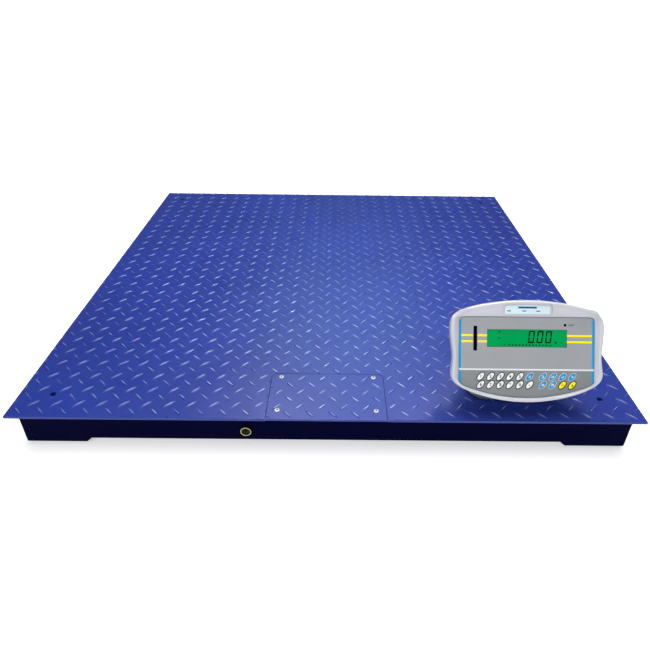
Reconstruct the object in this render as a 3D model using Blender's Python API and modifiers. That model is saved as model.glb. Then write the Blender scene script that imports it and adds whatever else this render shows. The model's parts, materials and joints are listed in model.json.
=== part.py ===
"""Pallet scale: a chequer-plate deck on four load cells, with a tilting weighing indicator standing on it.

Metres, +Z up. The origin is on the floor under the middle of the deck, and the deck's front edge faces -Y.
"""

import math

import bmesh
import bpy
from mathutils import Matrix, Vector

GAP = 0.0003  # left between pieces that touch
WELD = 0.00001  # joins the loose caps of a curve to its sides

# Deck
DECK_SIDE = 1.2
DECK_HALF = DECK_SIDE / 2
DECK_TOP = 0.085
DECK_THICKNESS = 0.005
DECK_UNDERSIDE = DECK_TOP - DECK_THICKNESS
TREAD_HEIGHT = 0.0016  # the raised tread that what stands on the deck rests on
CORNER_HOLE_INSET = 0.065  # from both edges, over the foot that it gives access to
CORNER_HOLE_RADIUS = 0.006

# Access cover, in a notch of the deck's front edge
COVER_HALF_WIDTH = 0.1135
COVER_DEPTH = 0.136
COVER_CORNER_RADIUS = 0.012
COVER_CLEARANCE = 0.0007
LEDGE_WIDTH = 0.02
LEDGE_THICKNESS = 0.0035
LEDGE_BITE = 0.0005  # how far the ledge is let into the deck's underside
COVER_SCREW_X = 0.094
COVER_SCREW_INSETS = (0.0245, 0.125)  # from the deck's front edge
SCREW_SHANK_RADIUS = 0.002
SCREW_HOLE_RADIUS = 0.0023
SCREW_HEAD_RADIUS = 0.0047
SCREW_HEAD_HEIGHT = 0.0024
SCREW_LENGTH = 0.014
SCREW_SOCKET_RADIUS = 0.0018

# Perimeter frame of channels, with the folded corner skirts that hide the feet
SKIRT_INSET = 0.0148
SKIRT_THICKNESS = 0.003
SKIRT_BEND = 0.005
SKIRT_BOTTOM = 0.0085
SKIRT_FOOT_LENGTH = 0.1185  # along the skirt's lower edge
SKIRT_SLOPE = 56 / 51  # how far its end leans outwards for each unit of height
FRAME_INSET = SKIRT_INSET + SKIRT_THICKNESS + GAP
FRAME_BOTTOM = 0.015
FRAME_TOP = DECK_UNDERSIDE - GAP
FRAME_FLANGE = 0.028
FRAME_WALL = 0.003
FRAME_BITE = 0.0009  # how far a side channel is let into its skirts
RIB_X = 0.2
RIB_WIDTH = 0.04
RIB_HEIGHT = 0.05
RIB_WALL = 0.003

# Load cells and feet, one under each corner hole
FOOT_XY = DECK_HALF - CORNER_HOLE_INSET
CELL_LENGTH = 0.13
CELL_SIDE = 0.032
CELL_TOP = 0.068
CELL_OVERHANG = 0.018  # from the foot's axis to the cell's free end
CELL_HOLE_RADIUS = 0.0063
CELL_POCKET_RADIUS = 0.0105
CELL_POCKET_DEPTH = 0.011
CELL_LEAD_RADIUS = 0.0045
CELL_LEAD_LENGTH = 0.008
SPACER_LENGTH = 0.052
PAD_RADIUS = 0.025
BALL_HEIGHT = 0.0135
BALL_RADIUS = 0.0065
STEM_RADIUS = 0.006
STEM_TOP = 0.066
STEM_SOCKET_RADIUS = 0.0036
STEM_SOCKET_DEPTH = 0.006
WRENCH_RADIUS = 0.0098
WRENCH_BOTTOM = 0.0215
WRENCH_TOP = 0.0295

# Cable gland and junction box behind the front channel
GLAND_X = -0.155
GLAND_Z = 0.041
GLAND_HEX_RADIUS = 0.0115
GLAND_HEX_LENGTH = 0.006
GLAND_BODY_RADIUS = 0.0085
GLAND_BORE_RADIUS = 0.0068
GLAND_LENGTH = 0.022
BOX_WIDTH = 0.11
BOX_DEPTH = 0.07
BOX_HEIGHT = 0.038
BOX_WALL = 0.0025
BOX_LID_HEIGHT = 0.003
CABLE_RADIUS = 0.0025
CABLE_TRUNK_RADIUS = 0.0045

# Indicator. Its pieces are laid out on its face: x to the right, y up the face, z out of it.
INDICATOR_X = 0.367
INDICATOR_LEAN = math.radians(33.15)  # of the face, back from upright
FACE_Y = -0.544  # the middle of the face
FACE_Z = DECK_TOP + 0.1205
PIVOT_DROP = 0.005  # from the middle of the face down to the tilt axis
PIVOT_SETBACK = 0.062  # and back to it
CASE_HALF_WIDTH = 0.142
CASE_WAIST = 0.0048
CASE_WAIST_Y = -0.012
CASE_WAIST_SPREAD = 0.03
CASE_HALF_HEIGHT = 0.0938
CASE_TOP_RADIUS = 0.449
CASE_BOTTOM_RADIUS = 0.3
CASE_SQUARENESS = 9
CASE_WALL = 0.0025
OUTLINE_POINTS = 64
PANEL_HALF_WIDTH = 0.1234
PANEL_TOP = 0.0628
PANEL_BOTTOM = 0.0856
PANEL_BOTTOM_RADIUS = 0.315
PANEL_SQUARENESS = 26
PANEL_Z = -0.007
OVERLAY_THICKNESS = 0.0008
PART_LINE_Z = -0.026
BACK_Z = -0.047
HUMP_HALF_WIDTH = 0.088
HUMP_TOP = 0.045
HUMP_BOTTOM = -0.06
HUMP_BACK_Z = -0.078
LABEL_HALF_WIDTH = 0.047
LABEL_BOTTOM = 0.066
LABEL_TOP = 0.0868

# Display, light bar and keys
DISPLAY_SIZE = (0.1455, 0.0309)
DISPLAY_CENTRE = (0.0002, 0.0236)
LIGHT_BAR_SIZE = (0.0062, 0.0448)
LIGHT_BAR_CENTRE = (-0.0949, 0.023)
STATUS_LIGHT_RADIUS = 0.0021
STATUS_LIGHT_CENTRE = (0.0702, 0.0483)
WINDOW_CLEARANCE = 0.0004
MODULE_MARGIN = 0.003
KEY_LONG_RADIUS = 0.0081
KEY_SHORT_RADIUS = 0.0039
KEY_SLANT = math.radians(47)
KEY_CLEARANCE = 0.00035
KEY_PITCH = 0.018
KEY_ROWS_Y = (-0.0469, -0.062)
KEY_TOP_Z = -0.0054
KEY_LENGTH = 0.006
NUMBER_KEYS_X = -0.0842
FUNCTION_KEYS_X = 0.0303
KEY_NAMES = (
    ("1", "2", "3", "4", "5", "clear"),
    ("6", "7", "8", "9", "0", "point"),
    ("limits", "units", "check", "total"),
    ("setup", "print", "zero", "tare"),
)
BOARD_SIZE = (0.204, 0.114)
BOARD_CENTRE_Y = -0.0115
BOARD_TOP_Z = -0.0123
BOARD_THICKNESS = 0.0016

# Battery, its cover and the load cell socket, at the back of the indicator
BATTERY_SIZE = (0.13, 0.048, 0.022)
BATTERY_CENTRE = (0, -0.024, -0.0625)
HATCH_SIZE = (0.12, 0.052)
HATCH_CENTRE_Y = -0.024
HATCH_LAP = 0.006
HATCH_THICKNESS = 0.0025
SOCKET_CENTRE = (0.104, 0.04)
SOCKET_RADIUS = 0.0085
SOCKET_BORE_RADIUS = 0.0062
SOCKET_LENGTH = 0.011

# Stand and its knobs
STAND_WALL = 0.0025
STAND_CLEARANCE = 0.0006
STAND_HALF_WIDTH = HUMP_HALF_WIDTH + STAND_CLEARANCE + STAND_WALL
STAND_BEND = 0.006
STAND_FRONT = -0.541
STAND_REAR = -0.425
STAND_CORNER = 0.036
STAND_BASE_Z = DECK_TOP + TREAD_HEIGHT + GAP
STAND_ARM_RADIUS = 0.014
STAND_ARM_FOOT = 0.03
STAND_HOLE_RADIUS = 0.00325
STAND_HOLES_X = 0.05
STAND_HOLES_Y = -0.445
KNOB_RADIUS = 0.011
KNOB_LOBES = 8
KNOB_LOBE_DEPTH = 0.0007
KNOB_LENGTH = 0.012
KNOB_STUD_RADIUS = 0.003
KNOB_STUD_LENGTH = 0.012
KNOB_HOLE_RADIUS = 0.0034

MATERIALS = {  # colour, roughness, metallic
    "blue_paint": ((0.035, 0.06, 0.36), 0.35, 0.0),
    "zinc": ((0.75, 0.75, 0.73), 0.35, 1.0),
    "steel": ((0.55, 0.56, 0.57), 0.4, 1.0),
    "brass": ((0.68, 0.6, 0.3), 0.35, 1.0),
    "rubber": ((0.02, 0.02, 0.02), 0.8, 0.0),
    "box_plastic": ((0.35, 0.36, 0.37), 0.5, 0.0),
    "cable": ((0.05, 0.05, 0.055), 0.5, 0.0),
    "case_plastic": ((0.72, 0.72, 0.76), 0.3, 0.0),
    "overlay_film": ((0.38, 0.4, 0.42), 0.4, 0.0),
    "display_green": ((0.0, 0.3, 0.09), 0.2, 0.0),
    "black_lens": ((0.005, 0.005, 0.005), 0.15, 0.0),
    "board_green": ((0.02, 0.16, 0.06), 0.5, 0.0),
    "battery_wrap": ((0.03, 0.05, 0.12), 0.5, 0.0),
    "stand_steel": ((0.6, 0.6, 0.61), 0.35, 1.0),
    "black_plastic": ((0.02, 0.02, 0.022), 0.45, 0.0),
    "key_white": ((0.85, 0.85, 0.85), 0.4, 0.0),
    "key_blue": ((0.01, 0.3, 0.68), 0.4, 0.0),
    "key_yellow": ((0.9, 0.78, 0.02), 0.4, 0.0),
}


def collection(name):
    made = bpy.data.collections.new(name)
    bpy.context.scene.collection.children.link(made)
    return made


def make_materials():
    for name, (colour, roughness, metallic) in MATERIALS.items():
        made = bpy.data.materials.new(name)
        made.use_nodes = True
        shader = made.node_tree.nodes["Principled BSDF"]
        shader.inputs["Base Color"].default_value = (*colour, 1)
        shader.inputs["Roughness"].default_value = roughness
        shader.inputs["Metallic"].default_value = metallic


# Outlines


def circle(radius, count=20, centre=(0, 0)):
    turns = [math.tau * i / count for i in range(count)]
    return [(centre[0] + radius * math.cos(t), centre[1] + radius * math.sin(t)) for t in turns]


def rectangle(width, height, centre=(0, 0)):
    x, y = centre
    left, right = x - width / 2, x + width / 2
    bottom, top = y - height / 2, y + height / 2
    return [(left, bottom), (right, bottom), (right, top), (left, top)]


def arc(centre, radius, start, end, steps):
    """Points from one angle to another, both in degrees and both included."""
    turns = [math.radians(start + (end - start) * i / steps) for i in range(steps + 1)]
    return [(centre[0] + radius * math.cos(t), centre[1] + radius * math.sin(t)) for t in turns]


def rounded_rectangle(width, height, radius, centre=(0, 0), steps=4):
    x, y = width / 2 - radius, height / 2 - radius
    points = []
    for start, (sx, sy) in zip((0, 90, 180, 270), ((1, 1), (-1, 1), (-1, -1), (1, -1))):
        corner = (centre[0] + sx * x, centre[1] + sy * y)
        points += arc(corner, radius, start, start + 90, steps)
    return points


def slanted_ellipse(long_radius, short_radius, count=20):
    points = []
    for i in range(count):
        turn = math.tau * i / count
        x, y = long_radius * math.cos(turn), short_radius * math.sin(turn)
        points.append((x * math.cos(KEY_SLANT) - y * math.sin(KEY_SLANT),
                       x * math.sin(KEY_SLANT) + y * math.cos(KEY_SLANT)))
    return points


def case_section(inset=0.0, half_width=CASE_HALF_WIDTH, waist=CASE_WAIST, top=CASE_HALF_HEIGHT,
                 top_radius=CASE_TOP_RADIUS, bottom=CASE_HALF_HEIGHT, bottom_radius=CASE_BOTTOM_RADIUS,
                 squareness=CASE_SQUARENESS):
    """The barrel outline of the indicator: bowed top and bottom, waisted sides and rounded corners."""

    def reach(x, y):
        pinch = waist * math.exp(-(((y - CASE_WAIST_Y) / CASE_WAIST_SPREAD) ** 2))
        side = half_width - inset - pinch
        edge, bow = (top, top_radius) if y > 0 else (bottom, bottom_radius)
        end = edge - inset - (x * x / (2 * bow) if bow else 0)
        if end <= 0:
            return 2
        return (abs(x) / side) ** squareness + (abs(y) / end) ** squareness

    points = []
    for i in range(OUTLINE_POINTS):
        turn = case_angle(i / OUTLINE_POINTS)
        near, far = 0.02, 0.2
        for _ in range(40):
            middle = (near + far) / 2
            if reach(middle * math.cos(turn), middle * math.sin(turn)) < 1:
                near = middle
            else:
                far = middle
        points.append((near * math.cos(turn), near * math.sin(turn)))
    return points


def case_angle(share):
    """Spreads the outline's points by length round a box of the case's proportions, not by angle."""
    aspect = CASE_HALF_HEIGHT / CASE_HALF_WIDTH
    turn = math.tau * share
    return math.atan2(aspect * math.sin(turn) * (1 + 0.35 * math.cos(turn) ** 2), math.cos(turn))


# Meshes


def finish_mesh(bm, name):
    bmesh.ops.remove_doubles(bm, verts=bm.verts, dist=WELD)
    bmesh.ops.recalc_face_normals(bm, faces=bm.faces)
    mesh = bpy.data.meshes.new(name)
    bm.to_mesh(mesh)
    bm.free()
    return mesh


def plate_mesh(name, outlines, thickness):
    """A flat plate from z 0 up to its thickness. The first outline is its edge, and the rest are holes."""
    curve = bpy.data.curves.new(name, "CURVE")
    curve.dimensions = "2D"
    curve.fill_mode = "BOTH"
    curve.extrude = thickness / 2
    for outline in outlines:
        spline = curve.splines.new("POLY")
        spline.points.add(len(outline) - 1)
        spline.use_cyclic_u = True
        for point, (x, y) in zip(spline.points, outline):
            point.co = (x, y, 0, 1)
    guide = bpy.data.objects.new(name, curve)
    bpy.context.scene.collection.objects.link(guide)
    graph = bpy.context.evaluated_depsgraph_get()
    filled = bpy.data.meshes.new_from_object(guide.evaluated_get(graph))
    bpy.data.objects.remove(guide)
    bm = bmesh.new()
    bm.from_mesh(filled)
    bmesh.ops.translate(bm, verts=bm.verts, vec=(0, 0, thickness / 2))
    return finish_mesh(bm, name)


def box_mesh(name, low, high):
    bm = bmesh.new()
    bmesh.ops.create_cube(bm, size=1)
    size = Vector(high) - Vector(low)
    middle = (Vector(high) + Vector(low)) / 2
    bmesh.ops.transform(bm, verts=bm.verts, matrix=Matrix.LocRotScale(middle, None, size))
    return finish_mesh(bm, name)


def rod_mesh(name, radius, length, sides=20, start=(0, 0, 0), axis=(0, 0, 1)):
    """A cylinder or prism that runs its length along axis from start."""
    bm = bmesh.new()
    bmesh.ops.create_cone(bm, cap_ends=True, segments=sides, radius1=radius, radius2=radius, depth=length)
    bmesh.ops.translate(bm, verts=bm.verts, vec=(0, 0, length / 2))
    turn = Vector(axis).to_track_quat("Z", "Y")
    bmesh.ops.transform(bm, verts=bm.verts, matrix=Matrix.LocRotScale(Vector(start), turn, None))
    return finish_mesh(bm, name)


def turned_mesh(name, profile, steps=24):
    """A solid of revolution about z, from (radius, height) points that start and end on the axis."""
    bm = bmesh.new()
    path = [bm.verts.new((radius, 0, height)) for radius, height in profile]
    edges = [bm.edges.new(pair) for pair in zip(path, path[1:])]
    bmesh.ops.spin(bm, geom=path + edges, cent=(0, 0, 0), axis=(0, 0, 1), angle=math.tau, steps=steps)
    return finish_mesh(bm, name)


def loft_mesh(name, rings):
    """A solid skinned over rings of (x, y, z) points that all have the same count."""
    bm = bmesh.new()
    loops = [[bm.verts.new(point) for point in ring] for ring in rings]
    for lower, upper in zip(loops, loops[1:]):
        for i in range(len(lower)):
            j = (i + 1) % len(lower)
            bm.faces.new((lower[i], lower[j], upper[j], upper[i]))
    bm.faces.new(loops[0])
    bm.faces.new(loops[-1])
    return finish_mesh(bm, name)


def at_height(outline, z):
    return [(x, y, z) for x, y in outline]


class Builder:
    """Places named pieces, and keeps what cuts or joins them in a collection of its own."""

    def __init__(self):
        self.parts = collection("pallet_scale")
        self.cutters = collection("cutters")

    def empty(self, name, location, rotation=(0, 0, 0), parent=None):
        made = bpy.data.objects.new(name, None)
        made.location = location
        made.rotation_euler = rotation
        made.parent = parent
        self.parts.objects.link(made)
        return made

    def piece(self, mesh, name, finish, location=(0, 0, 0), rotation=(0, 0, 0), parent=None):
        made = bpy.data.objects.new(name, mesh)
        mesh.materials.append(bpy.data.materials[finish])
        made.location = location
        made.rotation_euler = rotation
        made.parent = parent
        self.parts.objects.link(made)
        return made

    def combine(self, piece, mesh, operation, location=(0, 0, 0), rotation=(0, 0, 0), parent=None):
        """Adds mesh to the piece, or takes it away. Its place is given as for a piece."""
        tool = bpy.data.objects.new(f"{piece.name}_{operation.lower()}_{len(piece.modifiers)}", mesh)
        tool.location = location
        tool.rotation_euler = rotation
        tool.parent = parent
        tool.hide_render = True
        tool.display_type = "WIRE"
        self.cutters.objects.link(tool)
        modifier = piece.modifiers.new(operation.lower(), "BOOLEAN")
        modifier.operation = operation
        modifier.object = tool
        modifier.solver = "EXACT"
        return tool


# Platform


def cover_outline(grow):
    """The access cover's edge, or the notch's where it grows by a clearance."""
    x = COVER_HALF_WIDTH + grow
    front = -DECK_HALF
    rear = front + COVER_DEPTH + grow
    corner = COVER_CORNER_RADIUS
    right = arc((x - corner, rear - corner), corner, 0, 90, 4)
    left = arc((-x + corner, rear - corner), corner, 90, 180, 4)
    return [(-x, front), (x, front), *right, *left]


def screw_places():
    return [(side * COVER_SCREW_X, -DECK_HALF + inset) for inset in COVER_SCREW_INSETS for side in (-1, 1)]


def corners():
    """Name and the two signs of each corner, front left first."""
    return (("front_left", -1, -1), ("front_right", 1, -1), ("rear_left", -1, 1), ("rear_right", 1, 1))


def make_deck(b):
    notch = cover_outline(COVER_CLEARANCE)
    half = DECK_HALF
    edge = [(-half, -half), notch[0], *reversed(notch[2:]), notch[1], (half, -half), (half, half),
            (-half, half)]
    holes = [circle(CORNER_HOLE_RADIUS, 16, (sx * FOOT_XY, sy * FOOT_XY)) for _, sx, sy in corners()]
    deck = b.piece(plate_mesh("deck_plate", [edge, *holes], DECK_THICKNESS), "deck_plate", "blue_paint",
                   (0, 0, DECK_UNDERSIDE))
    ledge_front = -half + FRAME_INSET + FRAME_FLANGE + GAP
    outer_x, inner_x = COVER_HALF_WIDTH + LEDGE_WIDTH, COVER_HALF_WIDTH - LEDGE_WIDTH - SCREW_HEAD_RADIUS
    outer_y = -half + COVER_DEPTH + LEDGE_WIDTH
    inner_y = -half + COVER_DEPTH - LEDGE_WIDTH
    ledge = [(-outer_x, ledge_front), (-inner_x, ledge_front), (-inner_x, inner_y), (inner_x, inner_y),
             (inner_x, ledge_front), (outer_x, ledge_front), (outer_x, outer_y), (-outer_x, outer_y)]
    screw_holes = [circle(SCREW_HOLE_RADIUS, 12, place) for place in screw_places()[2:]]
    ledge_bottom = DECK_UNDERSIDE + LEDGE_BITE - LEDGE_THICKNESS
    strip = plate_mesh("ledge", [ledge, *screw_holes], LEDGE_THICKNESS)
    b.combine(deck, strip, "UNION", (0, 0, ledge_bottom))
    inner_end = FOOT_XY + CELL_OVERHANG - CELL_LENGTH
    for _, sx, sy in corners():
        ends = sorted((sx * inner_end, sx * (inner_end + SPACER_LENGTH)))
        low = (ends[0], sy * FOOT_XY - CELL_SIDE / 2, CELL_TOP + GAP)
        high = (ends[1], sy * FOOT_XY + CELL_SIDE / 2, DECK_UNDERSIDE + LEDGE_BITE)
        b.combine(deck, box_mesh("spacer", low, high), "UNION")


def make_cover(b):
    top = DECK_TOP
    bottom = DECK_UNDERSIDE + LEDGE_BITE + GAP
    mount = b.empty("cover_lift", (0, -DECK_HALF + COVER_DEPTH / 2, top))
    holes = [circle(SCREW_HOLE_RADIUS + GAP, 12, place) for place in screw_places()]
    down = (0, DECK_HALF - COVER_DEPTH / 2, bottom - top)
    plate = plate_mesh("access_cover", [cover_outline(0), *holes], top - bottom)
    b.piece(plate, "access_cover", "blue_paint", down, parent=mount)
    for number, (x, y) in enumerate(screw_places(), 1):
        head = [(0, SCREW_HEAD_HEIGHT), (SCREW_HEAD_RADIUS * 0.62, SCREW_HEAD_HEIGHT),
                (SCREW_HEAD_RADIUS * 0.9, SCREW_HEAD_HEIGHT * 0.62), (SCREW_HEAD_RADIUS, GAP),
                (SCREW_SHANK_RADIUS, GAP), (SCREW_SHANK_RADIUS, -SCREW_LENGTH), (0, -SCREW_LENGTH)]
        screw = b.piece(turned_mesh("cover_screw", head, 16), f"cover_screw_{number}", "zinc",
                        (x, y + DECK_HALF - COVER_DEPTH / 2, 0), parent=mount)
        start = (0, 0, SCREW_HEAD_HEIGHT / 3)
        socket = rod_mesh("socket", SCREW_SOCKET_RADIUS, SCREW_HEAD_HEIGHT, 6, start)
        b.combine(screw, socket, "DIFFERENCE", screw.location, parent=mount)


def channel_outline(width, height, wall):
    """A C section that opens towards +x, with its lower outer corner at the origin."""
    return [(0, 0), (width, 0), (width, wall), (wall, wall), (wall, height - wall), (width, height - wall),
            (width, height), (0, height)]


def make_cross_channels(b):
    height = FRAME_TOP - FRAME_BOTTOM
    reach = DECK_HALF - FRAME_INSET
    length = 2 * (reach - (SKIRT_BEND - SKIRT_THICKNESS))
    section = channel_outline(FRAME_FLANGE, height, FRAME_WALL)
    for name, turn in (("frame_front", 0), ("frame_rear", math.pi)):
        mesh = plate_mesh(name, [section], length)
        # The section's x runs inwards along y, and its length runs along x.
        mesh.transform(Matrix(((0, 0, 1, -length / 2), (1, 0, 0, -reach), (0, 1, 0, 0), (0, 0, 0, 1))))
        frame = b.piece(mesh, name, "blue_paint", (0, 0, FRAME_BOTTOM), (0, 0, turn))
        if name == "frame_rear":
            continue
        for x, y in screw_places()[:2]:
            b.combine(frame, rod_mesh("hole", SCREW_HOLE_RADIUS, 4 * FRAME_WALL, 12), "DIFFERENCE",
                      (x, y, FRAME_TOP - 2 * FRAME_WALL))
        start = (0, -2 * FRAME_WALL, 0)
        bore = rod_mesh("hole", GLAND_BODY_RADIUS + GAP, 4 * FRAME_WALL, 20, start, (0, 1, 0))
        b.combine(frame, bore, "DIFFERENCE", (GLAND_X, -DECK_HALF + FRAME_INSET, GLAND_Z))


def skirt_mesh():
    """A folded corner plate, drawn for the rear right corner: its two wings run back along -x and -y."""
    height = FRAME_TOP - SKIRT_BOTTOM
    reach = SKIRT_FOOT_LENGTH + SKIRT_SLOPE * height
    outer = DECK_HALF - SKIRT_INSET
    inner = outer - SKIRT_THICKNESS
    middle = (outer - SKIRT_BEND, outer - SKIRT_BEND)
    bow = arc(middle, SKIRT_BEND, 0, 90, 4)
    hollow = arc(middle, SKIRT_BEND - SKIRT_THICKNESS, 90, 0, 4)
    plan = [(outer, outer - reach), *bow, (outer - reach, outer), (outer - reach, inner), *hollow,
            (inner, outer - reach)]
    return plate_mesh("skirt", [plan], height)


def skirt_wedge():
    """Cuts one wing's end to its slope. Drawn in x and z, and 20 mm thick."""
    height = FRAME_TOP - SKIRT_BOTTOM
    far = SKIRT_FOOT_LENGTH + SKIRT_SLOPE * height
    over = 0.01
    lean = SKIRT_SLOPE * over
    outline = [(-SKIRT_FOOT_LENGTH + lean, -over), (-far - lean, height + over),
               (-far - 4 * over, height + over), (-far - 4 * over, -over)]
    mesh = plate_mesh("wedge", [outline], 2 * over)
    mesh.transform(Matrix(((1, 0, 0, 0), (0, 0, -1, over), (0, 1, 0, 0), (0, 0, 0, 1))))
    return mesh


def make_side_frames(b):
    height = FRAME_TOP - FRAME_BOTTOM
    length = 2 * (DECK_HALF - FRAME_INSET - FRAME_FLANGE - GAP)
    section = channel_outline(FRAME_FLANGE + FRAME_BITE, height, FRAME_WALL)
    outer = DECK_HALF - SKIRT_INSET
    for name, side in (("frame_left", 1), ("frame_right", -1)):
        mesh = plate_mesh(name, [section], length)
        mesh.transform(Matrix(((1, 0, 0, 0), (0, 0, -1, length / 2), (0, 1, 0, 0), (0, 0, 0, 1))))
        turn = 0 if side == 1 else math.pi
        frame = b.piece(mesh, name, "blue_paint",
                        (-side * (DECK_HALF - FRAME_INSET + FRAME_BITE), 0, FRAME_BOTTOM), (0, 0, turn))
        # Seen from above, each frame's two corners are quarter turns of the rear right one.
        for quarter in ((1, 2) if side == 1 else (3, 0)):
            spin = quarter * math.pi / 2
            skirt = b.combine(frame, skirt_mesh(), "UNION", (0, 0, SKIRT_BOTTOM), (0, 0, spin))
            for mirrored in (False, True):
                wedge = skirt_wedge()
                if mirrored:
                    wedge.transform(Matrix(((0, 1, 0, 0), (1, 0, 0, 0), (0, 0, 1, 0), (0, 0, 0, 1))))
                    wedge.flip_normals()
                corner = Vector((outer, outer, 0))
                corner.rotate(Matrix.Rotation(spin, 3, "Z"))
                corner.z = SKIRT_BOTTOM
                cutter = b.combine(skirt, wedge, "DIFFERENCE", corner, (0, 0, spin))
                cutter.name = f"{skirt.name}_wedge"


def make_ribs(b):
    reach = 2 * (DECK_HALF - FRAME_INSET - FRAME_FLANGE - 2 * GAP)
    section = [(-RIB_WIDTH / 2, 0), (RIB_WIDTH / 2, 0), (RIB_WIDTH / 2, RIB_HEIGHT),
               (RIB_WIDTH / 2 - RIB_WALL, RIB_HEIGHT), (RIB_WIDTH / 2 - RIB_WALL, RIB_WALL),
               (-RIB_WIDTH / 2 + RIB_WALL, RIB_WALL), (-RIB_WIDTH / 2 + RIB_WALL, RIB_HEIGHT),
               (-RIB_WIDTH / 2, RIB_HEIGHT)]
    for name, side in (("rib_left", -1), ("rib_right", 1)):
        mesh = plate_mesh(name, [section], reach)
        mesh.transform(Matrix(((1, 0, 0, 0), (0, 0, -1, reach / 2), (0, 1, 0, 0), (0, 0, 0, 1))))
        b.piece(mesh, name, "blue_paint", (side * RIB_X, 0, FRAME_TOP - RIB_HEIGHT))


def make_load_cell(b, name, sx, sy):
    """A shear beam: the foot's stem goes through its free end, and its other end is bolted under the deck."""
    low = (CELL_OVERHANG - CELL_LENGTH, -CELL_SIDE / 2, -CELL_SIDE)
    high = (CELL_OVERHANG, CELL_SIDE / 2, 0)
    turn = 0 if sx > 0 else math.pi
    place = (sx * FOOT_XY, sy * FOOT_XY, CELL_TOP)
    cell = b.piece(box_mesh(name, low, high), f"load_cell_{name}", "steel", place, (0, 0, turn))
    bevel = cell.modifiers.new("edges", "BEVEL")
    bevel.width = 0.0012
    bevel.segments = 1
    over = 0.01
    hole = rod_mesh("hole", CELL_HOLE_RADIUS, CELL_SIDE + 2 * over, 20, (0, 0, -CELL_SIDE - over))
    b.combine(cell, hole, "DIFFERENCE", place, (0, 0, turn))
    for side in (-1, 1):
        start = (CELL_OVERHANG - CELL_LENGTH / 2, side * (CELL_SIDE / 2 + over), -CELL_SIDE / 2)
        pocket = rod_mesh("pocket", CELL_POCKET_RADIUS, CELL_POCKET_DEPTH + over, 20, start, (0, -side, 0))
        b.combine(cell, pocket, "DIFFERENCE", place, (0, 0, turn))
    start = (CELL_OVERHANG - CELL_LENGTH + 0.002, 0, -CELL_SIDE / 2)
    lead = rod_mesh("lead", CELL_LEAD_RADIUS, CELL_LEAD_LENGTH + 0.002, 12, start, (-1, 0, 0))
    b.combine(cell, lead, "UNION", place, (0, 0, turn))


def make_foot(b, name, sx, sy):
    """A swivel pad on the ball of a threaded stem. Both hang from an empty on the foot's axis."""
    axis = b.empty(f"foot_axis_{name}", (sx * FOOT_XY, sy * FOOT_XY, 0))
    cup = BALL_RADIUS + GAP
    lip = 0.003
    low_angle = -90
    high_angle = math.degrees(math.asin(lip / cup))
    bowl = [(x, BALL_HEIGHT + z) for x, z in arc((0, 0), cup, high_angle, low_angle, 7)]
    pad = [(0, 0), (PAD_RADIUS - 0.001, 0), (PAD_RADIUS, 0.001), (PAD_RADIUS, 0.006),
           (PAD_RADIUS - 0.002, 0.0075), (0.0125, 0.0115), (0.0105, BALL_HEIGHT + lip), *bowl[:-1],
           (0, BALL_HEIGHT - cup)]
    b.piece(turned_mesh("foot_pad", pad), f"foot_pad_{name}", "rubber", parent=axis)
    neck = 0.0038
    neck_angle = math.degrees(math.acos(neck / BALL_RADIUS))
    ball = [(x, BALL_HEIGHT + z) for x, z in arc((0, 0), BALL_RADIUS, -90, neck_angle, 7)]
    stem = [(0, BALL_HEIGHT - BALL_RADIUS), *ball[1:], (neck, WRENCH_BOTTOM + 0.001),
            (STEM_RADIUS, WRENCH_BOTTOM + 0.003), (STEM_RADIUS, STEM_TOP - 0.001),
            (STEM_RADIUS - 0.001, STEM_TOP), (0, STEM_TOP)]
    made = b.piece(turned_mesh("foot_stem", stem), f"foot_stem_{name}", "zinc", parent=axis)
    nut = rod_mesh("wrench_nut", WRENCH_RADIUS, WRENCH_TOP - WRENCH_BOTTOM, 6, (0, 0, WRENCH_BOTTOM))
    b.combine(made, nut, "UNION", parent=axis)
    start = (0, 0, STEM_TOP - STEM_SOCKET_DEPTH)
    socket = rod_mesh("socket", STEM_SOCKET_RADIUS, 2 * STEM_SOCKET_DEPTH, 6, start)
    b.combine(made, socket, "DIFFERENCE", parent=axis)


def make_gland(b):
    """Brass gland through the front channel, with its bore open for the indicator's cable."""
    front = -DECK_HALF + FRAME_INSET - GAP
    start = (0, -GLAND_HEX_LENGTH, 0)
    gland = b.piece(rod_mesh("cable_gland", GLAND_HEX_RADIUS, GLAND_HEX_LENGTH, 6, start, (0, 1, 0)),
                    "cable_gland", "brass", (GLAND_X, front, GLAND_Z))
    body = rod_mesh("body", GLAND_BODY_RADIUS, GLAND_LENGTH, 20, (0, -GLAND_HEX_LENGTH / 2, 0), (0, 1, 0))
    b.combine(gland, body, "UNION", gland.location)
    bore = rod_mesh("bore", GLAND_BORE_RADIUS, 3 * GLAND_LENGTH, 20, (0, -GLAND_LENGTH, 0), (0, 1, 0))
    b.combine(gland, bore, "DIFFERENCE", gland.location)


def make_junction_box(b):
    """The box that joins the cells' leads. It stands on the front channel's lower flange, under the cover."""
    front = -DECK_HALF + FRAME_INSET + FRAME_WALL + GAP
    floor = FRAME_BOTTOM + FRAME_WALL + GAP
    low = (-BOX_WIDTH / 2, front, floor)
    high = (BOX_WIDTH / 2, front + BOX_DEPTH, floor + BOX_HEIGHT)
    box = b.piece(box_mesh("junction_box", low, high), "junction_box", "box_plastic")
    inner_low = [value + BOX_WALL for value in low]
    inner_high = (high[0] - BOX_WALL, high[1] - BOX_WALL, high[2] + BOX_WALL)
    b.combine(box, box_mesh("inside", inner_low, inner_high), "DIFFERENCE")
    lid_low = (low[0], low[1], high[2] + GAP)
    lid_high = (high[0], high[1], high[2] + GAP + BOX_LID_HEIGHT)
    b.piece(box_mesh("junction_box_lid", lid_low, lid_high), "junction_box_lid", "box_plastic")
    return front + BOX_DEPTH, floor + BOX_HEIGHT / 2


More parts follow.
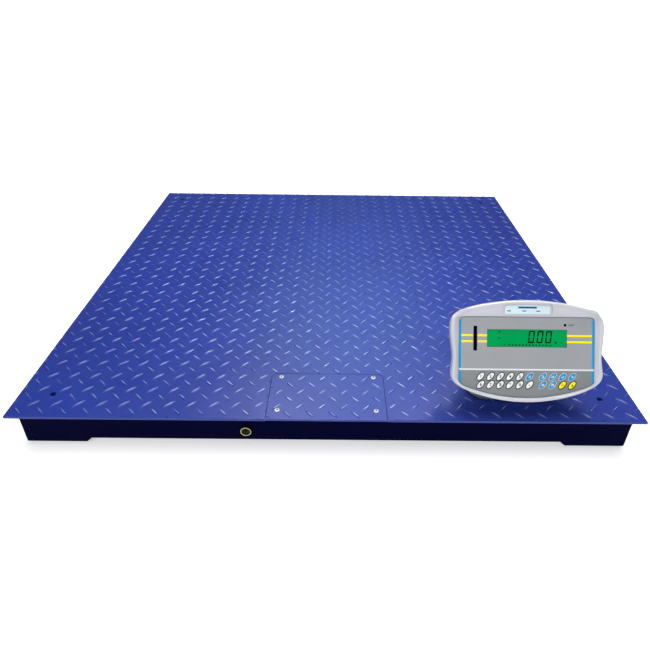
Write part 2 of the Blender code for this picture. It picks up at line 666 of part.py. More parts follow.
def cable_curve(name, route, radius, steps):
    """A tube along a smooth curve through the route's points."""
    points = []
    for i in range(len(route) - 1):
        near = [max(0, min(len(route) - 1, i + k)) for k in (-1, 0, 1, 2)]
        before, start, end, after = (Vector(route[k]) for k in near)
        for step in range(steps):
            t = step / steps
            curve = 2 * start + (end - before) * t + (2 * before - 5 * start + 4 * end - after) * t * t
            points.append((curve + (3 * start - before - 3 * end + after) * t * t * t) / 2)
    points.append(Vector(route[-1]))
    curve = bpy.data.curves.new(name, "CURVE")
    curve.dimensions = "3D"
    curve.bevel_depth = radius
    curve.bevel_resolution = 1
    curve.use_fill_caps = True
    spline = curve.splines.new("POLY")
    spline.points.add(len(points) - 1)
    for point, place in zip(spline.points, points):
        point.co = (*place, 1)
    guide = bpy.data.objects.new(name, curve)
    bpy.context.scene.collection.objects.link(guide)
    graph = bpy.context.evaluated_depsgraph_get()
    tube = bpy.data.meshes.new_from_object(guide.evaluated_get(graph))
    bpy.data.objects.remove(guide)
    bm = bmesh.new()
    bm.from_mesh(tube)
    return finish_mesh(bm, name)


def make_wiring(b, box_rear, box_middle):
    """The four cells' leads, bundled into one harness that enters the junction box from behind."""
    lead_end = FOOT_XY + CELL_OVERHANG - CELL_LENGTH - CELL_LEAD_LENGTH - 3 * GAP
    lead_z = CELL_TOP - CELL_SIDE / 2
    under_rib = FRAME_TOP - RIB_HEIGHT - 2 * CABLE_RADIUS
    trunk_y = box_rear + 0.03
    trunk_length = trunk_y + 3 * CABLE_TRUNK_RADIUS - box_rear
    trunk_start = (0, box_rear + GAP, box_middle)
    trunk = rod_mesh("cell_wiring", CABLE_TRUNK_RADIUS, trunk_length, 12, trunk_start, (0, 1, 0))
    harness = b.piece(trunk, "cell_wiring", "cable")
    for name, sx, sy in corners():
        # The rear leads run beside the front ones, and join the trunk behind them.
        shared_y = trunk_y + (2 * CABLE_TRUNK_RADIUS if sy > 0 else 0)
        end = (sx * 0.001, shared_y, box_middle)
        join = (sx * 0.06, shared_y + 0.006, under_rib)
        past_rib = (sx * 0.16, shared_y + 0.006, under_rib)
        before_rib = (sx * 0.245, shared_y + 0.006, under_rib)
        out = (sx * (lead_end - 0.03), sy * FOOT_XY, lead_z)
        leave = (sx * lead_end, sy * FOOT_XY, lead_z)
        if sy < 0:
            route = [leave, out, (sx * 0.31, -0.505, 0.038), before_rib, past_rib, join, end]
        else:
            lane = sx * 0.3
            route = [leave, out, (lane, 0.5, 0.042), (lane, 0.4, 0.036), (lane, 0.1, 0.034),
                     (lane, -0.2, 0.034), (lane, -0.4, 0.034), (sx * 0.285, -0.45, 0.03), before_rib,
                     past_rib, join, end]
        b.combine(harness, cable_curve(f"lead_{name}", route, CABLE_RADIUS, 4), "UNION")


# Indicator


def make_front_case(b, face):
    def outer(inset, z):
        return at_height(case_section(inset), z)

    crest = at_height(case_section(half_width=0.1335, top=0.0785, top_radius=0, bottom=0.0888,
                                   squareness=11, waist=0.003), -0.0008)
    floor = at_height(panel_section(0.0004), PANEL_Z)
    skin = [outer(0.0025, PART_LINE_Z), outer(0.0008, -0.014), outer(0, -0.007), outer(0.0008, -0.003),
            outer(0.0026, -0.0008), outer(0.0046, 0), crest, floor]
    shell = loft_mesh("front_case", skin)
    case = b.piece(shell, "front_case", "case_plastic", FACE_FROM_PIVOT, parent=face)
    room = [at_height(case_section(0.0025 + CASE_WALL), PART_LINE_Z - 0.01),
            at_height(case_section(0.0025 + CASE_WALL), PART_LINE_Z),
            at_height(case_section(0.0035 + CASE_WALL), PANEL_Z - CASE_WALL)]
    b.combine(case, loft_mesh("room", room), "DIFFERENCE", FACE_FROM_PIVOT, parent=face)
    for outline in (display_outline(WINDOW_CLEARANCE), light_bar_outline(WINDOW_CLEARANCE),
                    circle(STATUS_LIGHT_RADIUS, 12, STATUS_LIGHT_CENTRE), *key_windows()):
        window = plate_mesh("window", [outline], 0.02)
        below = Vector(FACE_FROM_PIVOT) + Vector((0, 0, PANEL_Z - 0.01))
        b.combine(case, window, "DIFFERENCE", below, parent=face)
    # The pocket for the capacity label leans with the slope under the rim.
    pocket = [(LABEL_BOTTOM, PANEL_Z + 0.0012), (LABEL_TOP, PANEL_Z + 0.0036), (LABEL_TOP, 0.01),
              (LABEL_BOTTOM, 0.01)]
    mesh = plate_mesh("label_pocket", [pocket], 2 * LABEL_HALF_WIDTH)
    mesh.transform(Matrix(((0, 0, 1, -LABEL_HALF_WIDTH), (1, 0, 0, 0), (0, 1, 0, 0), (0, 0, 0, 1))))
    b.combine(case, mesh, "DIFFERENCE", FACE_FROM_PIVOT, parent=face)


def panel_section(grow=0.0):
    return case_section(-grow, half_width=PANEL_HALF_WIDTH, waist=0, top=PANEL_TOP, top_radius=0,
                        bottom=PANEL_BOTTOM, bottom_radius=PANEL_BOTTOM_RADIUS, squareness=PANEL_SQUARENESS)


def display_outline(grow=0.0):
    return rectangle(DISPLAY_SIZE[0] + 2 * grow, DISPLAY_SIZE[1] + 2 * grow, DISPLAY_CENTRE)


def light_bar_outline(grow=0.0):
    return rectangle(LIGHT_BAR_SIZE[0] + 2 * grow, LIGHT_BAR_SIZE[1] + 2 * grow, LIGHT_BAR_CENTRE)


def key_places():
    """Each key's name, its place on the face and its colour."""
    places = []
    for group, row_names in enumerate(KEY_NAMES):
        start = NUMBER_KEYS_X if group < 2 else FUNCTION_KEYS_X
        for column, name in enumerate(row_names):
            if group < 2:
                finish = "key_blue" if name == "clear" else "key_white"
            else:
                finish = "key_yellow" if name in ("zero", "tare") else "key_blue"
            places.append((f"key_{name}", start + column * KEY_PITCH, KEY_ROWS_Y[group % 2], finish))
    return places


def key_windows():
    """One window under each group of keys, so that they can reach the board."""
    middle = sum(KEY_ROWS_Y) / 2
    height = KEY_ROWS_Y[0] - KEY_ROWS_Y[1] + 2 * KEY_LONG_RADIUS
    windows = []
    for start, row_names in ((NUMBER_KEYS_X, KEY_NAMES[0]), (FUNCTION_KEYS_X, KEY_NAMES[2])):
        length = (len(row_names) - 1) * KEY_PITCH
        windows.append(rectangle(length + 2 * KEY_LONG_RADIUS, height, (start + length / 2, middle)))
    return windows


def make_overlay(b, face):
    """The printed film with its key holes and windows, stuck on the panel."""
    key_hole = slanted_ellipse(KEY_LONG_RADIUS + KEY_CLEARANCE, KEY_SHORT_RADIUS + KEY_CLEARANCE)
    holes = [[(x + dx, y + dy) for dx, dy in key_hole] for _, x, y, _ in key_places()]
    holes += [display_outline(), light_bar_outline(WINDOW_CLEARANCE),
              circle(STATUS_LIGHT_RADIUS, 12, STATUS_LIGHT_CENTRE)]
    place = Vector(FACE_FROM_PIVOT) + Vector((0, 0, PANEL_Z + GAP))
    b.piece(plate_mesh("keypad_overlay", [panel_section(), *holes], OVERLAY_THICKNESS), "keypad_overlay",
            "overlay_film", place, parent=face)


def make_keys(b, face):
    for name, x, y, finish in key_places():
        mesh = plate_mesh(name, [slanted_ellipse(KEY_LONG_RADIUS, KEY_SHORT_RADIUS)], KEY_LENGTH)
        mesh.transform(Matrix.Translation((0, 0, -KEY_LENGTH)))
        place = Vector(FACE_FROM_PIVOT) + Vector((x, y, KEY_TOP_Z))
        b.piece(mesh, name, finish, place, parent=face)


def make_electronics(b, face):
    """The display and light bar look out through the panel, in front of the board that carries them."""
    flange_top = PANEL_Z - CASE_WALL - GAP
    flange = flange_top - (BOARD_TOP_Z + GAP)
    for name, finish, outline, front, size, centre in (
        ("display_module", "display_green", display_outline(), PANEL_Z - GAP, DISPLAY_SIZE, DISPLAY_CENTRE),
        ("light_bar", "black_lens", light_bar_outline(), PANEL_Z + GAP + OVERLAY_THICKNESS + GAP,
         LIGHT_BAR_SIZE, LIGHT_BAR_CENTRE),
    ):
        edge = rectangle(size[0] + 2 * MODULE_MARGIN, size[1] + 2 * MODULE_MARGIN, centre)
        place = Vector(FACE_FROM_PIVOT) + Vector((0, 0, flange_top - flange))
        module = b.piece(plate_mesh(name, [edge], flange), name, finish, place, parent=face)
        window = plate_mesh("window", [outline], front - (flange_top - flange / 2))
        b.combine(module, window, "UNION", place + Vector((0, 0, flange / 2)), parent=face)
    board = rectangle(*BOARD_SIZE, (0, BOARD_CENTRE_Y))
    place = Vector(FACE_FROM_PIVOT) + Vector((0, 0, BOARD_TOP_Z - BOARD_THICKNESS))
    sheet = plate_mesh("main_board", [board], BOARD_THICKNESS)
    b.piece(sheet, "main_board", "board_green", place, parent=face)


def hump_mesh(inset, back, front):
    middle = (HUMP_TOP + HUMP_BOTTOM) / 2
    width = 2 * (HUMP_HALF_WIDTH - inset)
    height = HUMP_TOP - HUMP_BOTTOM - 2 * inset
    outline = rounded_rectangle(width, height, 0.01, (0, middle), 3)
    return plate_mesh("hump", [outline], front - back)


def make_rear_case(b, face):
    """A drafted shell with a hump across its middle, which holds the battery and turns in the stand."""
    top = PART_LINE_Z - GAP
    skin = [at_height(case_section(inset), z)
            for inset, z in ((0.0028, top), (0.0055, -0.036), (0.0105, -0.044), (0.0165, BACK_Z))]
    case = b.piece(loft_mesh("rear_case", skin), "rear_case", "case_plastic", FACE_FROM_PIVOT, parent=face)
    place = Vector(FACE_FROM_PIVOT)
    b.combine(case, hump_mesh(0, HUMP_BACK_Z, BACK_Z + 0.004), "UNION", place + Vector((0, 0, HUMP_BACK_Z)),
              parent=face)
    wall = CASE_WALL
    room = [at_height(case_section(inset + wall), z)
            for inset, z in ((0.0028, top + 0.01), (0.0028, top), (0.0055, -0.036), (0.0105, BACK_Z + wall))]
    b.combine(case, loft_mesh("room", room), "DIFFERENCE", place, parent=face)
    b.combine(case, hump_mesh(wall, HUMP_BACK_Z + wall, BACK_Z + 0.01), "DIFFERENCE",
              place + Vector((0, 0, HUMP_BACK_Z + wall)), parent=face)
    hatch = rectangle(HATCH_SIZE[0] - 2 * HATCH_LAP, HATCH_SIZE[1] - 2 * HATCH_LAP, (0, HATCH_CENTRE_Y))
    over = 0.01
    outside = place + Vector((0, 0, HUMP_BACK_Z - over / 2))
    b.combine(case, plate_mesh("hatch", [hatch], over), "DIFFERENCE", outside, parent=face)
    hole = rod_mesh("hole", KNOB_HOLE_RADIUS, 2 * HUMP_HALF_WIDTH + 2 * over, 16,
                    (-HUMP_HALF_WIDTH - over, 0, 0), (1, 0, 0))
    b.combine(case, hole, "DIFFERENCE", parent=face)
    port = rod_mesh("port", SOCKET_BORE_RADIUS + 0.001, 4 * wall, 20, (*SOCKET_CENTRE, BACK_Z - 2 * wall))
    b.combine(case, port, "DIFFERENCE", place, parent=face)


def make_back_fittings(b, face):
    place = Vector(FACE_FROM_PIVOT)
    low = [middle - size / 2 for middle, size in zip(BATTERY_CENTRE, BATTERY_SIZE)]
    high = [middle + size / 2 for middle, size in zip(BATTERY_CENTRE, BATTERY_SIZE)]
    b.piece(box_mesh("battery", low, high), "battery", "battery_wrap", place, parent=face)
    outline = rounded_rectangle(*HATCH_SIZE, 0.004, (0, HATCH_CENTRE_Y), 3)
    b.piece(plate_mesh("battery_cover", [outline], HATCH_THICKNESS), "battery_cover", "case_plastic",
            place + Vector((0, 0, HUMP_BACK_Z - GAP - HATCH_THICKNESS)), parent=face)
    flange = plate_mesh("load_cell_socket", [circle(SOCKET_RADIUS, 24, SOCKET_CENTRE)], SOCKET_LENGTH)
    socket_back = BACK_Z - GAP - SOCKET_LENGTH
    socket = b.piece(flange, "load_cell_socket", "zinc", place + Vector((0, 0, socket_back)), parent=face)
    bore = plate_mesh("bore", [circle(SOCKET_BORE_RADIUS, 20, SOCKET_CENTRE)], SOCKET_LENGTH)
    b.combine(socket, bore, "DIFFERENCE", place + Vector((0, 0, socket_back - 0.002)), parent=face)


# Stand


def make_stand(b, pivot):
    """A sheet folded into a U: a foot plate on the deck, and two arms up to the tilt axis."""
    half, wall, bend = STAND_HALF_WIDTH, STAND_WALL, STAND_BEND
    base = STAND_BASE_Z - pivot.z
    top = STAND_ARM_RADIUS + 0.002
    outside = arc((half - bend, base + bend), bend, -90, 0, 4)
    inside = arc((half - bend, base + bend), bend - wall, 0, -90, 4)
    right = [*outside, (half, top), (half - wall, top), *inside]
    left = [(-x, z) for x, z in reversed(right)]
    length = STAND_REAR - STAND_FRONT
    mesh = plate_mesh("stand_bracket", [right + left], length)
    mesh.transform(Matrix(((1, 0, 0, 0), (0, 0, 1, STAND_FRONT - pivot.y), (0, 1, 0, 0), (0, 0, 0, 1))))
    stand = b.piece(mesh, "stand_bracket", "stand_steel", pivot)
    # Seen from the side, the arms narrow from the foot plate up to their round tops.
    shoulder = base + wall + 0.002
    rear = STAND_REAR - pivot.y + 0.01
    front = STAND_FRONT - pivot.y - 0.01
    head = arc((0, 0), STAND_ARM_RADIUS, 18, 162, 10)
    arm = [(rear, base - 0.01), (rear, shoulder), (STAND_ARM_FOOT, shoulder), *head,
           (-STAND_ARM_FOOT, shoulder), (front, shoulder), (front, base - 0.01)]
    side = plate_mesh("side_profile", [arm], 3 * half)
    side.transform(Matrix(((0, 0, 1, -1.5 * half), (1, 0, 0, 0), (0, 1, 0, 0), (0, 0, 0, 1))))
    b.combine(stand, side, "INTERSECT", pivot)
    middle = (STAND_FRONT + STAND_REAR) / 2 - pivot.y
    round_plan = rounded_rectangle(2 * half + 0.001, length, STAND_CORNER, (0, middle), 8)
    b.combine(stand, plate_mesh("plan", [round_plan], 0.3), "INTERSECT", pivot + Vector((0, 0, base - 0.1)))
    for x in (-STAND_HOLES_X, STAND_HOLES_X):
        hole = rod_mesh("hole", STAND_HOLE_RADIUS, 0.02, 16, (x, STAND_HOLES_Y - pivot.y, base - 0.01))
        b.combine(stand, hole, "DIFFERENCE", pivot)
    bore = rod_mesh("bore", KNOB_HOLE_RADIUS, 3 * half, 16, (-1.5 * half, 0, 0), (1, 0, 0))
    b.combine(stand, bore, "DIFFERENCE", pivot)


def make_knobs(b, pivot):
    grip = []
    for i in range(6 * KNOB_LOBES):
        turn = math.tau * i / (6 * KNOB_LOBES)
        radius = KNOB_RADIUS - KNOB_LOBE_DEPTH + KNOB_LOBE_DEPTH * math.cos(KNOB_LOBES * turn)
        grip.append((radius * math.cos(turn), radius * math.sin(turn)))
    for name, side in (("knob_left", -1), ("knob_right", 1)):
        mesh = plate_mesh(name, [grip], KNOB_LENGTH)
        place = pivot + Vector((side * (STAND_HALF_WIDTH + GAP), 0, 0))
        turn = (0, side * math.pi / 2, 0)
        knob = b.piece(mesh, name, "black_plastic", place, turn)
        reach = 0.003
        stud = rod_mesh("stud", KNOB_STUD_RADIUS, KNOB_STUD_LENGTH + reach, 16, (0, 0, -KNOB_STUD_LENGTH))
        b.combine(knob, stud, "UNION", place, turn)


FACE_FROM_PIVOT = (0, PIVOT_DROP, PIVOT_SETBACK)


def pivot_place():
    """The tilt axis, behind the middle of the face and a little below it."""
    up = Vector((0, math.sin(INDICATOR_LEAN), math.cos(INDICATOR_LEAN)))
    out = Vector((0, -math.cos(INDICATOR_LEAN), math.sin(INDICATOR_LEAN)))
    return Vector((INDICATOR_X, FACE_Y, FACE_Z)) - PIVOT_DROP * up - PIVOT_SETBACK * out


def shade():
    """Round pieces look smooth, and their real edges stay sharp."""
    for obj in bpy.data.collections["pallet_scale"].objects:
        if obj.type == "MESH":
            obj.data.shade_smooth()
            obj.data.set_sharp_from_angle(angle=math.radians(35))


def main():
    for obj in list(bpy.data.objects):
        bpy.data.objects.remove(obj)
    make_materials()
    b = Builder()
    make_deck(b)
    make_cover(b)
    make_cross_channels(b)
    make_side_frames(b)
    make_ribs(b)
    for name, sx, sy in corners():
        make_load_cell(b, name, sx, sy)
        make_foot(b, name, sx, sy)
    make_gland(b)
    box_rear, box_middle = make_junction_box(b)
    make_wiring(b, box_rear, box_middle)
    pivot = pivot_place()
    face = b.empty("tilt_axis", pivot, (math.pi / 2 - INDICATOR_LEAN, 0, 0))
    make_front_case(b, face)
    make_overlay(b, face)
    make_keys(b, face)
    make_electronics(b, face)
    make_rear_case(b, face)
    make_back_fittings(b, face)
    make_stand(b, pivot)
    make_knobs(b, pivot)
    shade()


main()
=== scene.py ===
import json
import math
import random

import bmesh
import bpy
from mathutils import Matrix, Vector


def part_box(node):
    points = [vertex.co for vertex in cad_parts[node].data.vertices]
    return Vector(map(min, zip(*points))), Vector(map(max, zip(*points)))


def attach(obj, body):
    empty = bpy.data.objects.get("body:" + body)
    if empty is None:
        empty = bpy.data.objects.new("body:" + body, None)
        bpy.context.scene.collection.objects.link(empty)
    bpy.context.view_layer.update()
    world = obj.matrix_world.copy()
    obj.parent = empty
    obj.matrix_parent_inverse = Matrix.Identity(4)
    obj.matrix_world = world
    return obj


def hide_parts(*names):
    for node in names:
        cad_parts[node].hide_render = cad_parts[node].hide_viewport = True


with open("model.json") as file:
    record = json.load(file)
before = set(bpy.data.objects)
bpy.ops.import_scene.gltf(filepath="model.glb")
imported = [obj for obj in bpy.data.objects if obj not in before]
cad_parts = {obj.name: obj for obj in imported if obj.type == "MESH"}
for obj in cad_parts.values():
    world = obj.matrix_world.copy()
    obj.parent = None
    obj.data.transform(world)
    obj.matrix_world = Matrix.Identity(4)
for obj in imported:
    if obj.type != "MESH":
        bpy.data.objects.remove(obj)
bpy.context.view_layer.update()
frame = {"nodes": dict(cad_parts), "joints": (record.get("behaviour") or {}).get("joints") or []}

JOINTS = {joint["name"]: joint for joint in frame["joints"]}

# Platform
DECK_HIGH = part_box("deck_plate")[1]
DECK_TOP = DECK_HIGH.z
DECK_HALF = DECK_HIGH.x
COVER_LOW, COVER_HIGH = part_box("access_cover")
COVER_CORNER = 0.012
SEAM = 0.0007
SCREW_CLEARANCE = 0.0075
HOLE_CLEARANCE = 0.0085
HOLE_OFFSET = 0.535

# Raised tread
TREAD_PITCH = 0.0429
TREAD_LENGTH = 0.0262
TREAD_WIDTH = 0.0062
TREAD_HEIGHT = 0.0016
TREAD_SUNK = 0.0001
TREAD_STRAY = 0.0002
TREAD_STRAY_DEGREES = 0.8
TREAD_LOWEST = 0.93
DECK_TREAD_START = (-0.131, -0.5188)
COVER_TREAD_START = (-0.0953, -0.522)
TREAD_MARGIN = 0.0012
# Where the paler crests of the tread, partly wear and partly painted highlight, are strongest
HIGHLIGHT_AND_WEAR_CENTRE = (0.03, -0.42, DECK_TOP)

# Indicator, laid out on its face: x to the right, y up the face, z out of it
PIVOT_TO_FACE = (0.005, 0.062)
CASE_HALF_WIDTH = 0.142
CASE_HALF_HEIGHT = 0.0938
CASE_TOP_RADIUS = 0.449
CASE_BOTTOM_RADIUS = 0.3
CASE_WAIST = 0.0048
CASE_WAIST_Y = -0.012
CASE_WAIST_SPREAD = 0.03
PANEL_HALF_WIDTH = 0.1248
CREST_HALF_WIDTH = 0.1335
PANEL_Z = -0.007
PART_LINE_Z = -0.026
OVERLAY_LIFT = 0.0003
OVERLAY_THICKNESS = 0.0008
OVERLAY_TOP = PANEL_Z + OVERLAY_LIFT + OVERLAY_THICKNESS
PRINT = 0.00006
BACK_Z = -0.047
HUMP_BACK_Z = -0.078
OUTLINE_POINTS = 256
KEY_LONG_RADIUS = 0.0081
KEY_SHORT_RADIUS = 0.0039
KEY_SLANT = math.radians(47)
KEY_TOP_Z = -0.0054
KEY_ROWS_Y = (-0.0469, -0.062)
KEY_PITCH = 0.018
KEY_GROUPS = (
    (-0.0842, 0, ("1", "2", "3", "4", "5", "clear")),
    (-0.0842, 1, ("6", "7", "8", "9", "0", "point")),
    (0.0303, 0, ("limits", "units", "check", "total")),
    (0.0303, 1, ("setup", "print", "zero", "tare")),
)
DISPLAY_SIZE = (0.1455, 0.0309)
DISPLAY_CENTRE = (0.0002, 0.0236)
LIGHT_BAR_SIZE = (0.0062, 0.0448)
LIGHT_BAR_CENTRE = (-0.0949, 0.023)
WINDOW_PLAY = 0.0008
STATUS_LIGHT_RADIUS = 0.0027
STATUS_LIGHT_CENTRE = (0.0702, 0.0483)
DISPLAY_PRINT_Z = PANEL_Z - 0.0003
NUMERAL_SIZE = (0.0112, 0.0228)
NUMERAL_STROKE = 0.0028
NUMERAL_START = (0.0019, 0.0147)
NUMERAL_PITCH = 0.0158
NUMERAL_LEAN = math.radians(7)
RULE_Y = -0.0341
RULE_HALF = 0.00145
KEYPAD_TOP = -0.034
LABEL_HALF_WIDTH = 0.0475
LABEL_TAPER = 0.0035
LABEL_BOTTOM = 0.066
LABEL_TOP = 0.0868
LABEL_BOTTOM_Z = PANEL_Z + 0.0012
LABEL_RISE = 0.0024
SOCKET_CENTRE = (0.104, 0.04)
HATCH_CENTRE = (0, -0.024)
BATTERY_COVER_BACK_Z = HUMP_BACK_Z - 0.0028
CARD_X = -0.05

# Camera
CAMERA_PLACE = (0.0127, -1.3563, DECK_TOP + 0.7045)
CAMERA_PITCH = math.radians(33.16)
CAMERA_YAW = math.radians(-0.38)
CAMERA_ROLL = math.radians(0.79)
CAMERA_LENS = 30.35
CAMERA_SENSOR = 36
CAMERA_SHIFT = -0.0189

# Edges sharper than these stay crisp
SMOOTH_ANGLE = math.radians(32)
SHELL_SMOOTH_ANGLE = math.radians(38)
TREAD_SMOOTH_ANGLE = math.radians(60)
EASED_ABOVE = math.radians(40)

random.seed(7)


def linked(name, data):
    """A new object in the scene."""
    made = bpy.data.objects.new(name, data)
    bpy.context.scene.collection.objects.link(made)
    return made


def middle_of(node):
    low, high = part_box(node)
    return (low + high) / 2


# Materials
MATERIALS = {}


def link(tree, socket, target):
    tree.links.new(socket, target)


def give(node, **values):
    """Sets a node's inputs. An underscore in a name stands for a space."""
    for name, value in values.items():
        node.inputs[name.replace("_", " ")].default_value = value


def coordinates(tree):
    return tree.nodes.new("ShaderNodeTexCoord").outputs["Object"]


def noise(tree, scale, detail=4.0, roughness=0.55, stretch=None):
    """Noise over the surface, in cycles a metre, and stretched along an axis where asked."""
    node = tree.nodes.new("ShaderNodeTexNoise")
    give(node, Scale=scale, Detail=detail, Roughness=roughness)
    place = coordinates(tree)
    if stretch:
        mapping = tree.nodes.new("ShaderNodeMapping")
        give(mapping, Scale=stretch)
        link(tree, place, mapping.inputs["Vector"])
        place = mapping.outputs["Vector"]
    link(tree, place, node.inputs["Vector"])
    return node.outputs["Fac"]


def remap(tree, value, start, end, low, high):
    node = tree.nodes.new("ShaderNodeMapRange")
    give(node, From_Min=start, From_Max=end, To_Min=low, To_Max=high)
    link(tree, value, node.inputs["Value"])
    return node.outputs["Result"]


def multiply(tree, first, second):
    node = tree.nodes.new("ShaderNodeMath")
    node.operation = "MULTIPLY"
    link(tree, first, node.inputs[0])
    link(tree, second, node.inputs[1])
    return node.outputs["Value"]


def mix(tree, factor, first, second):
    """Blends two colours, each a tuple or a socket, by a factor from the surface."""
    node = tree.nodes.new("ShaderNodeMix")
    node.data_type = "RGBA"
    link(tree, factor, node.inputs["Factor"])
    sockets = [s for s in node.inputs if s.type == "RGBA"]
    for socket, value in zip(sockets, (first, second)):
        if isinstance(value, tuple):
            socket.default_value = (*value, 1)
        else:
            link(tree, value, socket)
    return next(s for s in node.outputs if s.type == "RGBA")


def shade_of(colour, factor):
    return tuple(min(1.0, channel * factor) for channel in colour)


def surface(name, colour, roughness, metallic=0.0, coat=0.0, coat_roughness=0.1, vary=0.12, vary_scale=9.0,
            rough_vary=0.06, grain=1200.0, bump=0.05, bump_depth=0.0002, stretch=None, specular=0.5):
    """A finish with drifting colour and gloss, and a fine grain in relief. Gives back its node tree."""
    made = bpy.data.materials.new(name)
    made.use_nodes = True
    MATERIALS[name] = made
    tree = made.node_tree
    shader = tree.nodes["Principled BSDF"]
    give(shader, Metallic=metallic, Coat_Weight=coat, Coat_Roughness=coat_roughness,
         Specular_IOR_Level=specular)
    drift = remap(tree, noise(tree, vary_scale, 6.0), 0.3, 0.7, 0.0, 1.0)
    tint = mix(tree, drift, shade_of(colour, 1 - vary), shade_of(colour, 1 + vary))
    link(tree, tint, shader.inputs["Base Color"])
    gloss = remap(tree, noise(tree, vary_scale * 3.7, 5.0), 0.3, 0.7, roughness - rough_vary,
                  roughness + rough_vary)
    link(tree, gloss, shader.inputs["Roughness"])
    relief = tree.nodes.new("ShaderNodeBump")
    give(relief, Strength=bump, Distance=bump_depth)
    link(tree, noise(tree, grain, 3.0, 0.5, stretch), relief.inputs["Height"])
    link(tree, relief.outputs["Normal"], shader.inputs["Normal"])
    return tree


def along(tree, axis):
    """Where the surface lies along one axis of its object."""
    split = tree.nodes.new("ShaderNodeSeparateXYZ")
    link(tree, coordinates(tree), split.inputs["Vector"])
    return split.outputs[axis]


def tint_over(tree, mask, colour):
    """Lays a second colour over a finish where the mask says."""
    shader = tree.nodes["Principled BSDF"]
    below = shader.inputs["Base Color"].links[0].from_socket
    link(tree, mix(tree, mask, below, colour), shader.inputs["Base Color"])


DECK_BLUE = (0.011, 0.028, 0.226)
# The frame's colour, darkened into painted shade
FRAME_BLUE_PAINTED_SHADE = (0.0007, 0.0009, 0.019)


def deck_paint():
    """Satin blue enamel on the flat plate, with thin dust and faint scuffs."""
    tree = surface("deck_paint", DECK_BLUE, 0.35, coat=0.05, coat_roughness=0.35, vary=0.1, vary_scale=5.0,
                   rough_vary=0.06, grain=520.0, bump=0.16, bump_depth=0.0004, specular=0.3)
    dust = remap(tree, noise(tree, 3.1, 8.0, 0.7), 0.5, 0.85, 0.0, 0.04)
    scuffs = remap(tree, noise(tree, 38.0, 7.0, 0.7, (0.25, 1.0, 1.0)), 0.62, 0.75, 0.0, 0.2)
    tint_over(tree, dust, (0.1, 0.14, 0.3))
    tint_over(tree, scuffs, (0.06, 0.1, 0.32))


def tread_paint():
    """The same enamel on the raised tread, polished, with its crests painted paler: partly rubbed wear and
    partly painted highlight, strongest round the centre front.
    """
    tree = surface("tread_paint", DECK_BLUE, 0.28, coat=0.5, coat_roughness=0.13, vary=0.1, vary_scale=5.0,
                   rough_vary=0.03, grain=900.0, bump=0.015, bump_depth=0.0002, specular=0.3)
    crest = remap(tree, along(tree, "Z"), DECK_TOP + 0.8 * TREAD_HEIGHT, DECK_TOP + 0.96 * TREAD_HEIGHT,
                  0.0, 1.0)
    reach = tree.nodes.new("ShaderNodeVectorMath")
    reach.operation = "DISTANCE"
    reach.inputs[1].default_value = HIGHLIGHT_AND_WEAR_CENTRE
    link(tree, coordinates(tree), reach.inputs[0])
    wear_and_highlight_falloff = remap(tree, reach.outputs["Value"], 0.15, 0.9, 0.85, 0.1)
    patches = remap(tree, noise(tree, 14.0, 3.0), 0.35, 0.65, 0.55, 1.0)
    # Paler crests, partly rubbed wear and partly painted highlight, fading away from the centre front
    tint_over(tree, multiply(tree, crest, multiply(tree, wear_and_highlight_falloff, patches)), (0.42, 0.52, 0.8))


def frame_paint_with_painted_shade():
    """The frame's enamel, painted dark navy as painted shade for the shadow under the deck's edge, and dusty
    towards the floor.
    """
    tree = surface("frame_paint_with_painted_shade", FRAME_BLUE_PAINTED_SHADE, 0.5, vary=0.14, vary_scale=7.0, grain=480.0, bump=0.2,
                   bump_depth=0.0004, specular=0.01)
    low = remap(tree, along(tree, "Z"), 0.006, 0.035, 1.0, 0.0)
    patches = remap(tree, noise(tree, 25.0, 8.0, 0.7), 0.4, 0.8, 0.0, 0.015)
    tint_over(tree, multiply(tree, low, patches), (0.1, 0.1, 0.14))


def glowing_display():
    """The lit green crystal panel, with a faint unevenness in its glow."""
    tree = surface("display_green", (0.0, 0.12, 0.03), 0.3, vary=0.05, grain=3000.0, bump=0.02,
                   specular=0.04)
    shader = tree.nodes["Principled BSDF"]
    glow = mix(tree, remap(tree, noise(tree, 14.0, 2.0), 0.35, 0.65, 0.0, 1.0), (0.0, 0.26, 0.06),
               (0.0, 0.32, 0.085))
    link(tree, glow, shader.inputs["Emission Color"])
    give(shader, Emission_Strength=0.82)


def overlay_film():
    """Satin printed film: a paler display area over a darker keypad."""
    tree = surface("overlay_film", (0.318, 0.336, 0.36), 0.42, coat=0.1, coat_roughness=0.3, vary=0.03,
                   vary_scale=14.0, grain=2600.0, bump=0.08, bump_depth=0.0001)
    keypad = remap(tree, along(tree, "Y"), KEYPAD_TOP - 0.0005, KEYPAD_TOP, 0.62, 0.0)
    tint_over(tree, keypad, (0.16, 0.178, 0.175))


def circuit_board():
    tree = surface("board_green", (0.02, 0.16, 0.06), 0.45, coat=0.4, vary=0.1, grain=900.0)
    tracks = tree.nodes.new("ShaderNodeTexBrick")
    give(tracks, Scale=160.0, Mortar_Size=0.02)
    link(tree, coordinates(tree), tracks.inputs["Vector"])
    tint_over(tree, remap(tree, tracks.outputs["Fac"], 0.0, 1.0, 0.0, 0.5), (0.1, 0.35, 0.15))


def lit_floor():
    """A pale sweep, lit a little from below so that shadows on it stay faint."""
    tree = surface("floor", (0.86, 0.86, 0.86), 0.65, vary=0.01, vary_scale=1.5, grain=90.0, bump=0.02)
    give(tree.nodes["Principled BSDF"], Emission_Color=(1, 1, 1, 1), Emission_Strength=0.45)


def key_cap(name, colour, vary):
    """The satin moulded finish of a key."""
    surface(name, colour, 0.36, coat=0.08, coat_roughness=0.2, specular=0.3, vary=vary, vary_scale=90.0,
            grain=2400.0, bump=0.08)


def ink(name, colour, vary, roughness=0.4, specular=0.15, grain=2400.0):
    """Flat ink, printed on film or card."""
    surface(name, colour, roughness, specular=specular, vary=vary, grain=grain)


